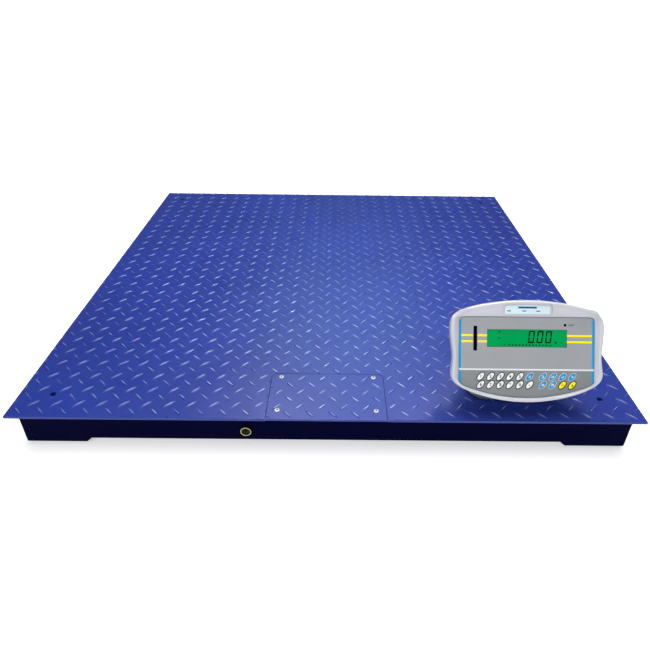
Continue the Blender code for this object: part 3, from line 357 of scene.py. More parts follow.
def metals():
    surface("zinc", (0.78, 0.78, 0.76), 0.3, 1.0, vary=0.12, vary_scale=160.0, rough_vary=0.1, grain=2500.0,
            bump=0.1)
    surface("bright_zinc", (0.72, 0.72, 0.7), 0.4, 0.3, vary=0.06, vary_scale=160.0, grain=2500.0, bump=0.1)
    surface("cell_steel", (0.56, 0.56, 0.55), 0.33, 1.0, vary=0.1, vary_scale=40.0, grain=900.0, bump=0.25,
            stretch=(0.06, 1.0, 1.0))
    # The stand's steel is darker than bare steel: painted shade, so that it sinks into the shadow under the
    # indicator
    surface("stand_steel", (0.24, 0.24, 0.25), 0.42, 1.0, vary=0.08, vary_scale=30.0, rough_vary=0.08,
            grain=1300.0, bump=0.3, stretch=(0.03, 1.0, 1.0))
    surface("brass", (0.5, 0.45, 0.2), 0.34, 1.0, vary=0.2, vary_scale=110.0, rough_vary=0.12, grain=1400.0,
            bump=0.15)
    surface("aged_brass", (0.03, 0.026, 0.016), 0.5, 1.0, vary=0.3, vary_scale=110.0, rough_vary=0.1,
            grain=1400.0, bump=0.2)


def plastics():
    surface("socket_black", (0.004, 0.004, 0.005), 0.7, vary=0.3, grain=900.0, specular=0.1)
    surface("rubber", (0.022, 0.022, 0.023), 0.78, vary=0.3, vary_scale=60.0, grain=1100.0, bump=0.35,
            bump_depth=0.0003)
    # Dark sealant, also painted shade for the seam between the cover and the deck
    surface("seam_sealant_and_shade", (0.004, 0.008, 0.07), 0.6, vary=0.3, vary_scale=60.0, grain=1100.0, bump=0.35,
            bump_depth=0.0003, specular=0.1)
    surface("box_plastic", (0.3, 0.31, 0.32), 0.5, vary=0.06, grain=1500.0, bump=0.25)
    surface("cable_sheath", (0.03, 0.03, 0.033), 0.42, vary=0.25, vary_scale=40.0, grain=700.0, bump=0.15)
    surface("case_plastic", (0.555, 0.56, 0.62), 0.36, coat=0.12, coat_roughness=0.25, vary=0.03,
            vary_scale=11.0, rough_vary=0.04, grain=1900.0, bump=0.16, bump_depth=0.00012)
    surface("black_lens", (0.0008, 0.0008, 0.001), 0.3, vary=0.2, rough_vary=0.03, grain=700.0, bump=0.03,
            specular=0.04)
    surface("battery_wrap", (0.03, 0.05, 0.13), 0.4, coat=0.3, vary=0.2, grain=260.0, bump=0.3)
    surface("black_plastic", (0.02, 0.02, 0.022), 0.42, vary=0.25, grain=1700.0, bump=0.3)
    key_cap("key_white", (0.86, 0.86, 0.86), 0.03)
    key_cap("key_blue", (0.002, 0.3, 0.64), 0.06)
    key_cap("key_yellow", (0.98, 0.84, 0.003), 0.05)


def prints():
    surface("display_ink", (0.0, 0.006, 0.003), 0.35, vary=0.2, grain=3000.0, bump=0.02, specular=0.04)
    ink("print_white", (0.74, 0.76, 0.8), 0.03, specular=0.5)
    ink("print_grey", (0.035, 0.038, 0.042), 0.12, roughness=0.45)
    ink("print_black", (0.003, 0.003, 0.004), 0.2, specular=0.1)
    ink("print_blue", (0.002, 0.32, 0.68), 0.06)
    ink("print_yellow", (0.96, 0.84, 0.002), 0.05)
    ink("label_ink", (0.006, 0.09, 0.3), 0.1, roughness=0.5, grain=900.0)
    surface("label_paper", (0.66, 0.83, 0.88), 0.45, coat=0.15, vary=0.03, grain=900.0)


def make_materials():
    for make in (deck_paint, tread_paint, frame_paint_with_painted_shade, overlay_film, glowing_display, circuit_board,
                 lit_floor, metals, plastics, prints):
        make()


# Outlines


def circle(radius, count=32, centre=(0, 0)):
    turns = [math.tau * i / count for i in range(count)]
    return [(centre[0] + radius * math.cos(t), centre[1] + radius * math.sin(t)) for t in turns]


def rectangle(width, height, centre=(0, 0)):
    x, y = centre
    half_w, half_h = width / 2, height / 2
    return [(x - half_w, y - half_h), (x + half_w, y - half_h), (x + half_w, y + half_h),
            (x - half_w, y + half_h)]


def rounded_rectangle(width, height, radius, centre=(0, 0), steps=5):
    x, y = width / 2 - radius, height / 2 - radius
    points = []
    for start, (sx, sy) in zip((0, 90, 180, 270), ((1, 1), (-1, 1), (-1, -1), (1, -1))):
        for i in range(steps + 1):
            turn = math.radians(start + 90 * i / steps)
            points.append((centre[0] + sx * x + radius * math.cos(turn),
                           centre[1] + sy * y + radius * math.sin(turn)))
    return points


def slanted_ellipse(long_radius, short_radius, centre=(0, 0), count=48):
    points = []
    for i in range(count):
        turn = math.tau * i / count
        x, y = long_radius * math.cos(turn), short_radius * math.sin(turn)
        points.append((centre[0] + x * math.cos(KEY_SLANT) - y * math.sin(KEY_SLANT),
                       centre[1] + x * math.sin(KEY_SLANT) + y * math.cos(KEY_SLANT)))
    return points


def case_angle(share):
    """Spaces the outline's points so that more of them fall on its corners."""
    aspect = CASE_HALF_HEIGHT / CASE_HALF_WIDTH
    turn = math.tau * share
    return math.atan2(aspect * math.sin(turn) * (1 + 0.35 * math.cos(turn) ** 2), math.cos(turn))


def case_section(inset=0.0, half_width=CASE_HALF_WIDTH, waist=CASE_WAIST, top=CASE_HALF_HEIGHT,
                 top_radius=CASE_TOP_RADIUS, bottom=CASE_HALF_HEIGHT, bottom_radius=CASE_BOTTOM_RADIUS,
                 squareness=9):
    """The barrel outline of the indicator: bowed top and bottom, waisted sides and rounded corners."""

    def reach(x, y):
        pinch = waist * math.exp(-(((y - CASE_WAIST_Y) / CASE_WAIST_SPREAD) ** 2))
        side = half_width - inset - pinch
        edge, bow = (top, top_radius) if y > 0 else (bottom, bottom_radius)
        end = edge - inset - (x * x / (2 * bow) if bow else 0)
        if end <= 0:
            return 2
        return (abs(x) / side) ** squareness + (abs(y) / end) ** squareness

    points = []
    for i in range(OUTLINE_POINTS):
        turn = case_angle(i / OUTLINE_POINTS)
        near, far = 0.02, 0.2
        for _ in range(30):
            middle = (near + far) / 2
            if reach(middle * math.cos(turn), middle * math.sin(turn)) < 1:
                near = middle
            else:
                far = middle
        points.append((near * math.cos(turn), near * math.sin(turn)))
    return points


def panel_section(grow=0.0):
    return case_section(-grow, half_width=PANEL_HALF_WIDTH, waist=0, top=0.0628, top_radius=0, bottom=0.0856,
                        bottom_radius=0.315, squareness=26)


def crest_section(grow=0.0):
    return case_section(-grow, half_width=CREST_HALF_WIDTH, top=0.0785, top_radius=0, bottom=0.0888,
                        squareness=11, waist=0.003)


def at_height(outline, z):
    return [(x, y, z) for x, y in outline]


def between(first, second, share):
    return [tuple(a + (b - a) * share for a, b in zip(p, q)) for p, q in zip(first, second)]


# Meshes


def finished(bm, name):
    """A mesh with welded points, outward faces and smooth shading between its sharp edges."""
    bmesh.ops.remove_doubles(bm, verts=bm.verts, dist=0.000002)
    bmesh.ops.recalc_face_normals(bm, faces=bm.faces)
    mesh = bpy.data.meshes.new(name)
    bm.to_mesh(mesh)
    bm.free()
    mesh.shade_smooth()
    mesh.set_sharp_from_angle(angle=SMOOTH_ANGLE)
    return mesh


def loft(name, rings, hollow=False):
    """A solid skinned over rings of points that all have the same count. A hollow one closes on itself."""
    bm = bmesh.new()
    loops = [[bm.verts.new(point) for point in ring] for ring in rings]
    if hollow:
        loops.append(loops[0])
    for lower, upper in zip(loops, loops[1:]):
        for i in range(len(lower)):
            j = (i + 1) % len(lower)
            bm.faces.new((lower[i], lower[j], upper[j], upper[i]))
    if not hollow:
        bm.faces.new(loops[0])
        bm.faces.new(loops[-1])
    return finished(bm, name)


def prism(name, outline, low, high):
    return loft(name, [at_height(outline, low), at_height(outline, high)])


def plate(name, outlines, low, high):
    """A flat plate with holes. The first outline is its edge."""
    curve = bpy.data.curves.new(name, "CURVE")
    curve.dimensions = "2D"
    curve.fill_mode = "BOTH"
    curve.extrude = (high - low) / 2
    for outline in outlines:
        spline = curve.splines.new("POLY")
        spline.points.add(len(outline) - 1)
        spline.use_cyclic_u = True
        for point, (x, y) in zip(spline.points, outline):
            point.co = (x, y, 0, 1)
    return from_curve(curve, name, (0, 0, (low + high) / 2))


def from_curve(curve, name, move):
    guide = linked(name, curve)
    graph = bpy.context.evaluated_depsgraph_get()
    filled = bpy.data.meshes.new_from_object(guide.evaluated_get(graph))
    bpy.data.objects.remove(guide)
    bm = bmesh.new()
    bm.from_mesh(filled)
    bmesh.ops.translate(bm, verts=bm.verts, vec=move)
    return finished(bm, name)


def lettering(text, size, centre, z, weight=0.0):
    """Plain numerals or a unit, centred on a point and thickened by a weight."""
    curve = bpy.data.curves.new("lettering", "FONT")
    curve.body = text
    curve.size = size
    curve.align_x = "CENTER"
    curve.align_y = "CENTER"
    curve.extrude = PRINT / 2
    curve.offset = weight
    return from_curve(curve, "lettering", (*centre, z + PRINT / 2))


class Piece:
    """One visible object, gathered from meshes that each have their own finish."""

    def __init__(self, name, slot):
        self.name = name
        self.slot = slot
        self.bm = bmesh.new()
        self.finishes = []

    def add(self, mesh, finish, matrix=None):
        if finish not in self.finishes:
            self.finishes.append(finish)
        index = self.finishes.index(finish)
        before = len(self.bm.faces)
        if matrix:
            mesh.transform(matrix)
        self.bm.from_mesh(mesh)
        self.bm.faces.ensure_lookup_table()
        for face in self.bm.faces[before:]:
            face.material_index = index
        bpy.data.meshes.remove(mesh)
        return self

    def flat(self, outline, z, finish, depth=PRINT):
        return self.add(prism("flat", outline, z, z + depth), finish)

    def band(self, outlines, z, finish):
        """Printed between an outer outline and an inner one."""
        return self.add(plate("band", outlines, z, z + PRINT), finish)

    def place(self, body, matrix=None, smooth_angle=SMOOTH_ANGLE):
        mesh = bpy.data.meshes.new(self.name)
        self.bm.to_mesh(mesh)
        self.bm.free()
        mesh.shade_smooth()
        mesh.set_sharp_from_angle(angle=smooth_angle)
        for finish in self.finishes:
            mesh.materials.append(MATERIALS[finish])
        made = linked(self.name, mesh)
        if matrix:
            made.matrix_world = matrix
        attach(made, body)
        return made


def carve(mesh, cutters, operation="DIFFERENCE"):
    """Cuts the cutters out of a mesh, or joins them on, and gives back the result."""
    body = linked("carved", mesh)
    tools = [linked("tool", cutter) for cutter in cutters]
    for tool in tools:
        modifier = body.modifiers.new("cut", "BOOLEAN")
        modifier.operation = operation
        modifier.object = tool
        modifier.solver = "EXACT"
    graph = bpy.context.evaluated_depsgraph_get()
    made = bpy.data.meshes.new_from_object(body.evaluated_get(graph))
    for spent in (body, *tools):
        bpy.data.objects.remove(spent)
    return made


# CAD pieces that keep their shape: how a name starts, its finish and the ease of its edges
LOOKS = (
    ("deck_plate", "deck_paint", 0.0008), ("access_cover", "deck_paint", 0.0006),
    ("frame_", "frame_paint_with_painted_shade", 0.0006), ("rib_", "frame_paint_with_painted_shade", 0.0006),
    ("cable_gland", "aged_brass", 0.0004), ("cell_wiring", "cable_sheath", 0),
    ("junction_box_lid", "box_plastic", 0.0008), ("junction_box", "box_plastic", 0.0006),
    ("load_cell_socket", "zinc", 0.0003), ("load_cell_", "cell_steel", 0),
    ("foot_pad", "rubber", 0.0003), ("foot_stem", "zinc", 0.0002),
    ("cover_screw", "bright_zinc", 0.0002), ("light_bar", "black_lens", 0.0003),
    ("main_board", "board_green", 0), ("display_module", "display_green", 0),
    ("battery_cover", "case_plastic", 0.0006), ("battery", "battery_wrap", 0.0015),
    ("stand_bracket", "stand_steel", 0.0004), ("knob_", "black_plastic", 0.0005),
)


def finish_nodes():
    """Gives each CAD piece its finish, and eases its sharp edges."""
    for name, node in frame["nodes"].items():
        look = next((row for row in LOOKS if name.startswith(row[0])), None)
        if not look:
            continue
        _, finish, width = look
        node.data.materials.clear()
        node.data.materials.append(MATERIALS[finish])
        if width:
            bevel = node.modifiers.new("eased_edges", "BEVEL")
            bevel.width = width
            bevel.segments = 2
            bevel.limit_method = "ANGLE"
            bevel.angle_limit = EASED_ABOVE
            bevel.harden_normals = False


# Tread


def tread_lug():
    """One lens-shaped lug along x, as rings of points across it from one tip to the other."""
    across = (-1.0, -0.78, -0.42, 0.0, 0.42, 0.78, 1.0)
    stations = 11
    verts = []
    for i in range(1, stations - 1):
        u = -math.cos(math.pi * i / (stations - 1))
        half_width = TREAD_WIDTH / 2 * (1 - abs(u) ** 2.6) ** 0.8
        height = TREAD_HEIGHT * (1 - abs(u) ** 5)
        for v in across:
            rise = (1 - abs(v) ** 2.4) * (height + TREAD_SUNK) - TREAD_SUNK
            verts.append((u * TREAD_LENGTH / 2, v * half_width, rise))
    count = len(across)
    tips = len(verts)
    last = tips - count
    faces = [(a, a + count, a + count + 1, a + 1)
             for r in range(0, last, count) for a in range(r, r + count - 1)]
    verts += [(-TREAD_LENGTH / 2, 0, -TREAD_SUNK), (TREAD_LENGTH / 2, 0, -TREAD_SUNK)]
    for j in range(count - 1):
        faces.append((tips, j, j + 1))
        faces.append((tips + 1, last + j + 1, last + j))
    lower = list(range(0, tips, count))
    faces.append((tips, *lower, tips + 1, *(a + count - 1 for a in reversed(lower))))
    return verts, faces


def trimmed(verts, faces, planes):
    """A lug cut back to the inner side of each plane, given as a point and an outward normal."""
    bm = bmesh.new()
    made = [bm.verts.new(v) for v in verts]
    for face in faces:
        bm.faces.new([made[i] for i in face])
    for point, outward in planes:
        geometry = bm.verts[:] + bm.edges[:] + bm.faces[:]
        if not bm.faces:
            break
        cut = bmesh.ops.bisect_plane(bm, geom=geometry, plane_co=point, plane_no=outward, clear_outer=True,
                                     dist=0.000001)
        edges = [g for g in cut["geom_cut"] if isinstance(g, bmesh.types.BMEdge)]
        if len(edges) > 2:
            bmesh.ops.edgenet_fill(bm, edges=edges)
    bm.verts.index_update()
    result = [tuple(v.co) for v in bm.verts], [tuple(v.index for v in f.verts) for f in bm.faces]
    bm.free()
    return result


def away_from(places, clearance, x, y, turn):
    """Whether a lug's centre line stays clear of every one of the places."""
    dx, dy = math.cos(turn), math.sin(turn)
    reach = TREAD_LENGTH / 2 - TREAD_WIDTH / 2
    for px, py in places:
        nearest = max(-reach, min(reach, (px - x) * dx + (py - y) * dy))
        if math.hypot(px - x - nearest * dx, py - y - nearest * dy) < clearance:
            return False
    return True


def rows(low, high, start):
    """The numbers of the rows that reach between two edges."""
    reach = TREAD_LENGTH / 2
    first = math.floor((low - reach - start) / TREAD_PITCH)
    last = math.ceil((high + reach - start) / TREAD_PITCH)
    return range(first, last + 1)


def lay_tread(name, body, start, low, high, planes_for, keep_clear, clearance):
    """Covers a plate with rows of lugs that lean left and right by turns, cut off at the plate's edges."""
    lug_verts, lug_faces = tread_lug()
    verts, faces = [], []
    for lean, shift in ((math.pi / 4, 0.0), (-math.pi / 4, TREAD_PITCH / 2)):
        start_x, start_y = start[0] + shift, start[1] + shift
        for i in rows(low[0], high[0], start_x):
            for j in rows(low[1], high[1], start_y):
                x = start_x + i * TREAD_PITCH + random.uniform(-TREAD_STRAY, TREAD_STRAY)
                y = start_y + j * TREAD_PITCH + random.uniform(-TREAD_STRAY, TREAD_STRAY)
                turn = lean + math.radians(random.uniform(-TREAD_STRAY_DEGREES, TREAD_STRAY_DEGREES))
                rise = random.uniform(TREAD_LOWEST, 1.0)
                if not away_from(keep_clear, clearance, x, y, turn):
                    continue
                place = Matrix.Translation((x, y, DECK_TOP)) @ Matrix.Rotation(turn, 4, "Z")
                place = place @ Matrix.Diagonal((1, 1, rise, 1))
                here = [tuple(place @ Vector(v)) for v in lug_verts]
                planes = planes_for(here, x, y)
                if planes is None:
                    continue
                these = lug_faces
                if planes:
                    here, these = trimmed(here, lug_faces, planes)
                base = len(verts)
                verts += here
                faces += [tuple(base + k for k in face) for face in these]
    mesh = bpy.data.meshes.new(name)
    mesh.from_pydata(verts, [], faces)
    mesh.validate()
    mesh.shade_smooth()
    mesh.set_sharp_from_angle(angle=TREAD_SMOOTH_ANGLE)
    mesh.materials.append(MATERIALS["tread_paint"])
    made = linked(name, mesh)
    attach(made, body)


def edge_planes(points, edges):
    """The planes that a lug crosses. None where it lies wholly outside one of them."""
    crossed = []
    for point, outward in edges:
        depths = [(Vector(p) - Vector(point)).dot(Vector(outward)) for p in points]
        if min(depths) > -0.002:
            return None
        if max(depths) > 0:
            crossed.append((point, outward))
    return crossed


def make_tread():
    """The tread of the deck, clear of the cover and the corner holes, and the tread of the cover."""
    margin = TREAD_MARGIN
    far = DECK_HALF - margin
    edges = [((far, 0, 0), (1, 0, 0)), ((-far, 0, 0), (-1, 0, 0)), ((0, far, 0), (0, 1, 0)),
             ((0, -far, 0), (0, -1, 0))]
    notch_x = COVER_HIGH.x + SEAM + margin
    notch_y = COVER_HIGH.y + SEAM + margin

    def deck_planes(points, x, y):
        planes = edge_planes(points, edges)
        if planes is None:
            return None
        if not any(abs(p[0]) < notch_x and p[1] < notch_y for p in points):
            return planes
        choices = (
            (-notch_x - x, ((-notch_x, 0, 0), (1, 0, 0))),
            (x - notch_x, ((notch_x, 0, 0), (-1, 0, 0))),
            (y - notch_y, ((0, notch_y, 0), (0, -1, 0))),
        )
        _, plane = max(choices, key=lambda choice: choice[0])
        more = edge_planes(points, [plane])
        return None if more is None else planes + more

    holes = [(sx * HOLE_OFFSET, sy * HOLE_OFFSET) for sx in (-1, 1) for sy in (-1, 1)]
    lay_tread("deck_tread", "platform", DECK_TREAD_START, (-DECK_HALF, -DECK_HALF), (DECK_HALF, DECK_HALF),
              deck_planes, holes, HOLE_CLEARANCE)
    inner_x = COVER_HIGH.x - margin
    inner_y = COVER_HIGH.y - margin
    slope = Vector((1, 1, 0)).normalized()
    corner = Vector((inner_x, inner_y, 0)) - slope * COVER_CORNER * (math.sqrt(2) - 1)
    lid_edges = [((inner_x, 0, 0), (1, 0, 0)), ((-inner_x, 0, 0), (-1, 0, 0)), ((0, inner_y, 0), (0, 1, 0)),
                 ((0, COVER_LOW.y + margin, 0), (0, -1, 0)), (tuple(corner), tuple(slope)),
                 ((-corner.x, corner.y, 0), (-slope.x, slope.y, 0))]

    def lid_planes(points, *_):
        return edge_planes(points, lid_edges)

    screws = [tuple(middle_of(f"cover_screw_{number}").xy) for number in range(1, 5)]
    lay_tread("cover_tread", "cover", COVER_TREAD_START, COVER_LOW[:2], COVER_HIGH[:2], lid_planes, screws,
              SCREW_CLEARANCE)


# Indicator


def face_matrix():
    """The indicator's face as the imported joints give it: its tilt axis, and the way its keys press."""
    out = -Vector(JOINTS["press_1"]["axis"])
    right = Vector((1, 0, 0))
    up = out.cross(right)
    pivot = Vector(JOINTS["indicator_tilt"]["pos_m"])
    origin = pivot + PIVOT_TO_FACE[0] * up + PIVOT_TO_FACE[1] * out
    turn = Matrix((right, up, out)).transposed().to_4x4()
    return Matrix.Translation(origin) @ turn


def make_front_shell(face):
    """The rounded rim, the slope down to the panel, and the windows and the label's pocket cut in them."""
    skin = [at_height(case_section(inset), z) for inset, z in (
        (0.0028, PART_LINE_Z), (0.0024, PART_LINE_Z + 0.0006), (0.0016, -0.019), (0.0008, -0.014),
        (0.0002, -0.0098), (0.0, -0.007), (0.0002, -0.0048), (0.0008, -0.003), (0.0016, -0.0016),
        (0.0026, -0.0007), (0.0037, -0.00015), (0.0048, 0.0))]
    brow = skin[-1]
    crest = at_height(crest_section(0.0004), -0.0005)
    slope_top = at_height(crest_section(-0.0004), -0.0011)
    floor = at_height(panel_section(0.0003), PANEL_Z)
    skin += [between(brow, crest, share) for share in (0.3, 0.7)] + [crest, slope_top]
    skin += [between(slope_top, floor, share) for share in (0.35, 0.7, 0.96)] + [floor]
    shell = loft("front_shell", skin)
    framed = ((DISPLAY_SIZE, DISPLAY_CENTRE), (LIGHT_BAR_SIZE, LIGHT_BAR_CENTRE))
    windows = [rectangle(width + WINDOW_PLAY, height + WINDOW_PLAY, centre)
               for (width, height), centre in framed]
    windows.append(circle(STATUS_LIGHT_RADIUS, 24, STATUS_LIGHT_CENTRE))
    upper, lower = KEY_ROWS_Y
    for start, _, names in KEY_GROUPS[::2]:
        length = (len(names) - 1) * KEY_PITCH
        windows.append(rectangle(length + 2 * KEY_LONG_RADIUS, upper - lower + 2 * KEY_LONG_RADIUS,
                                 (start + length / 2, (upper + lower) / 2)))
    cutters = [prism("window", outline, PANEL_Z - 0.006, 0.01) for outline in windows]
    pocket = [(LABEL_BOTTOM, LABEL_BOTTOM_Z), (LABEL_TOP, LABEL_BOTTOM_Z + LABEL_RISE), (LABEL_TOP, 0.01),
              (LABEL_BOTTOM, 0.01)]
    rings = [[(side * (LABEL_HALF_WIDTH - (LABEL_TAPER if y == LABEL_TOP else 0)), y, z) for y, z in pocket]
             for side in (-1, 1)]
    cutters.append(loft("pocket", rings))
    piece = Piece("front_shell", "case_plastic").add(carve(shell, cutters), "case_plastic")
    made = piece.place("indicator", face, SHELL_SMOOTH_ANGLE)
    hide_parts("front_case")


def key_places():
    for start, row, names in KEY_GROUPS:
        for column, name in enumerate(names):
            yield name, start + column * KEY_PITCH, KEY_ROWS_Y[row]


def make_overlay(face):
    """The film over the whole panel, open round the keys, the display and the lights."""
    hole = 0.00035
    outlines = [panel_section()]
    outlines += [slanted_ellipse(KEY_LONG_RADIUS + hole, KEY_SHORT_RADIUS + hole, (x, y))
                 for _, x, y in key_places()]
    outlines.append(rounded_rectangle(*DISPLAY_SIZE, 0.0006, DISPLAY_CENTRE, 3))
    width, height = LIGHT_BAR_SIZE
    outlines.append(rounded_rectangle(width + WINDOW_PLAY, height + WINDOW_PLAY, 0.0012, LIGHT_BAR_CENTRE, 4))
    outlines.append(circle(STATUS_LIGHT_RADIUS, 24, STATUS_LIGHT_CENTRE))
    film = plate("overlay", outlines, PANEL_Z + OVERLAY_LIFT, OVERLAY_TOP)
    made = Piece("printed_overlay", "overlay_film").add(film, "overlay_film").place("indicator", face)
    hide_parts("keypad_overlay")


def side_stripe(side, inner, top, bottom):
    """A stripe between the panel's edge and an upright line, over a range of heights."""
    edge = [(x, y) for x, y in panel_section(-0.0004) if x * side > inner and bottom < y < top]
    edge.sort(key=lambda point: point[1])
    ends = [(edge[0][0], bottom)] if abs(edge[0][0]) - inner > 0.002 else []
    return ends + edge + [(edge[-1][0], top), (side * inner, top), (side * inner, max(bottom, edge[0][1]))]


def make_prints(face):
    """What is printed on the film: the coloured stripes, the white rule and the rings round the keys, with a
    grey line of painted shade along the panel's edge.
    """
    piece = Piece("panel_prints_and_edge_shade", "overlay_film")
    width = max(x for x, _ in panel_section(-0.0004))
    piece.flat(rectangle(2 * width, 2 * RULE_HALF, (0, RULE_Y)), OVERLAY_TOP, "print_white")
    rule_edge = RULE_HALF + 0.0002
    for side, inner in ((-1, 0.1206), (1, 0.1202)):
        for top, bottom in ((0.058, RULE_Y + rule_edge), (RULE_Y - rule_edge, -0.075)):
            piece.flat(side_stripe(side, inner, top, bottom), OVERLAY_TOP, "print_blue")
    bar_x, bar_gap = LIGHT_BAR_CENTRE[0], LIGHT_BAR_SIZE[0] / 2 + 0.0014
    for y in (0.0286, 0.01725):
        for left, right in ((-0.1202, bar_x - bar_gap), (bar_x + bar_gap, -0.0733), (0.0736, 0.1198)):
            piece.flat(rectangle(right - left, 0.0036, ((left + right) / 2, y)), OVERLAY_TOP, "print_yellow")
    for name, x, y in key_places():
        finish = "print_white" if key_finish(name) == "key_blue" else "print_grey"
        gap, wide = 0.00045, (0.0007 if finish == "print_white" else 0.0015)
        rings = [slanted_ellipse(KEY_LONG_RADIUS + gap + grow, KEY_SHORT_RADIUS + gap + grow, (x, y))
                 for grow in (wide, 0)]
        piece.band(rings, OVERLAY_TOP, finish)
    width, height = DISPLAY_SIZE
    frame_lines = [rectangle(width + grow, height + grow, DISPLAY_CENTRE) for grow in (0.0016, 0)]
    # The band along the panel's edge is painted shade where the film meets the slope of the rim
    for outlines in (frame_lines, [panel_section(-0.0001), panel_section(-0.0007)]):
        piece.band(outlines, OVERLAY_TOP, "print_grey")
    for row, length in ((0.0492, 0.0118), (0.0474, 0.0085)):
        piece.flat(rectangle(length, 0.0008, (0.0765 + length / 2, row)), OVERLAY_TOP, "print_grey")
    piece.place("indicator", face)


def key_finish(name):
    if name in ("zero", "tare"):
        return "key_yellow"
    if name == "point" or name.isdigit():
        return "key_white"
    return "key_blue"


def stroke(points, width):
    """Outlines of short bars along a line of points."""
    outlines = []
    for (x0, y0), (x1, y1) in zip(points, points[1:]):
        length = math.hypot(x1 - x0, y1 - y0)
        nx, ny = -(y1 - y0) / length * width / 2, (x1 - x0) / length * width / 2
        outlines.append([(x0 + nx, y0 + ny), (x0 - nx, y0 - ny), (x1 - nx, y1 - ny), (x1 + nx, y1 + ny)])
    return outlines


# Plain signs, drawn as strokes in steps of ICON_SCALE
ICON_SCALE = 0.00115
ICON_STROKE = 0.0009
ICONS = {
    "clear": [[(-1.6, -1.6), (1.6, 1.6)], [(-1.6, 1.6), (1.6, -1.6)]],
    "limits": [[(-2.2, 1.5), (2.2, 1.5)], [(-2.2, -1.5), (2.2, -1.5)], [(0, -0.9), (0, 0.9)]],
    "units": [[(-2.2, 0.9), (2.2, 0.9), (1.0, 1.9)], [(2.2, -0.9), (-2.2, -0.9), (-1.0, -1.9)]],
    "check": [[(-2.0, 0.1), (-0.5, -1.5), (2.2, 1.7)]],
    "total": [[(-1.9, 0), (1.9, 0)], [(0, -1.9), (0, 1.9)]],
    "setup": [[(-2.2, 1.3), (2.2, 1.3)], [(-2.2, 0), (2.2, 0)], [(-2.2, -1.3), (2.2, -1.3)]],
    "print": [[(-2.1, -1.2), (2.1, -1.2), (2.1, 0.8), (-2.1, 0.8), (-2.1, -1.2)], [(-1.2, 1.7), (1.2, 1.7)]],
    "zero": [[(-2.6, 0), (-1.5, 0)], [(2.6, 0), (1.5, 0)]],
    "tare": [[(-2.0, -1.7), (2.0, -1.7)], [(0, 1.9), (0, -0.9)], [(-1.1, 0.1), (0, -0.9), (1.1, 0.1)]],
}


def make_keys(face):
    """Domed caps on the CAD keys, each with its numeral or a plain sign."""
    dome = 0.00028
    profile = ((1.0, -0.0022), (1.0, -0.00035), (0.985, -0.00012), (0.95, 0.0), (0.8, 0.36 * dome),
               (0.55, 0.72 * dome), (0.25, 0.95 * dome))
    for name, x, y in key_places():
        finish = key_finish(name)
        rings = [at_height(slanted_ellipse(KEY_LONG_RADIUS * share, KEY_SHORT_RADIUS * share), z)
                 for share, z in profile]
        piece = Piece(f"cap_{name}", finish).add(loft("cap", rings), finish)
        ink = "print_white" if finish == "key_blue" else "print_black"
        top = dome * 0.97
        if name.isdigit():
            piece.add(lettering(name, 0.0074, (0, 0), top, 0.0002), ink)
        if name == "point":
            piece.flat(circle(0.001, 20, (0, -0.0008)), top, ink)
        if name == "zero":
            piece.band([circle(0.0015, 28), circle(0.001, 28)], top, ink)
        for path in ICONS.get(name, []):
            points = [(px * ICON_SCALE, py * ICON_SCALE) for px, py in path]
            for k, outline in enumerate(stroke(points, ICON_STROKE)):
                piece.flat(outline, top + (k % 2) * 0.00001, ink)
        made = piece.place(f"button_{name}", face @ Matrix.Translation((x, y, KEY_TOP_Z)))
        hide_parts(f"key_{name}")


def zero_numeral(x0, y0):
    """The lit bars of a seven-segment 0 that leans to the right."""
    width, height = NUMERAL_SIZE
    thick, gap = NUMERAL_STROKE, NUMERAL_STROKE * 0.12
    middle, half = height / 2, NUMERAL_STROKE / 2
    inner, upper = width - thick, height - thick
    bars = [
        [(gap, height), (width - gap, height), (inner, upper), (thick, upper)],
        [(inner, upper - gap), (width, height - gap), (width, middle + gap), (inner, middle + half)],
        [(inner, middle - half), (width, middle - gap), (width, gap), (inner, thick + gap)],
        [(thick, thick), (inner, thick), (width - gap, 0), (gap, 0)],
        [(0, middle - gap), (thick, middle - half), (thick, thick + gap), (0, gap)],
        [(0, height - gap), (thick, upper - gap), (thick, middle + half), (0, middle + gap)],
    ]
    lean = math.tan(NUMERAL_LEAN)
    return [[(x0 + x + y * lean, y0 + y) for x, y in bar] for bar in bars]


def make_display(face):
    """The dark shapes on the lit panel: three numerals, a point, a unit and the capacity ticks."""
    piece = Piece("display_shapes", "display_green")
    z = DISPLAY_PRINT_Z
    for number in range(3):
        for outline in zero_numeral(NUMERAL_START[0] + number * NUMERAL_PITCH, NUMERAL_START[1]):
            piece.flat(outline, z, "display_ink")
    piece.flat(rectangle(0.0018, 0.0018, (0.0151, 0.0157)), z, "display_ink")
    piece.add(lettering("kg", 0.0056, (0.0535, 0.0168), z, 0.0001), "display_ink")
    marks = [(0.0028, 0.0022, -0.0315 + number * 0.0062, 0.0112) for number in range(12)]
    marks += [(0.0042, 0.0009, -0.0405, 0.0112), (0.0062, 0.0009, 0.0442, 0.0112),
              (0.0062, 0.0011, -0.0505, 0.0346), (0.0062, 0.0011, -0.0505, 0.0237)]
    for width, height, x, y in marks:
        piece.flat(rectangle(width, height, (x, y)), z, "display_ink")
    piece.flat([(-0.0512, 0.0355), (-0.0482, 0.0355), (-0.0497, 0.0377)], z, "display_ink")
    piece.place("indicator", face)


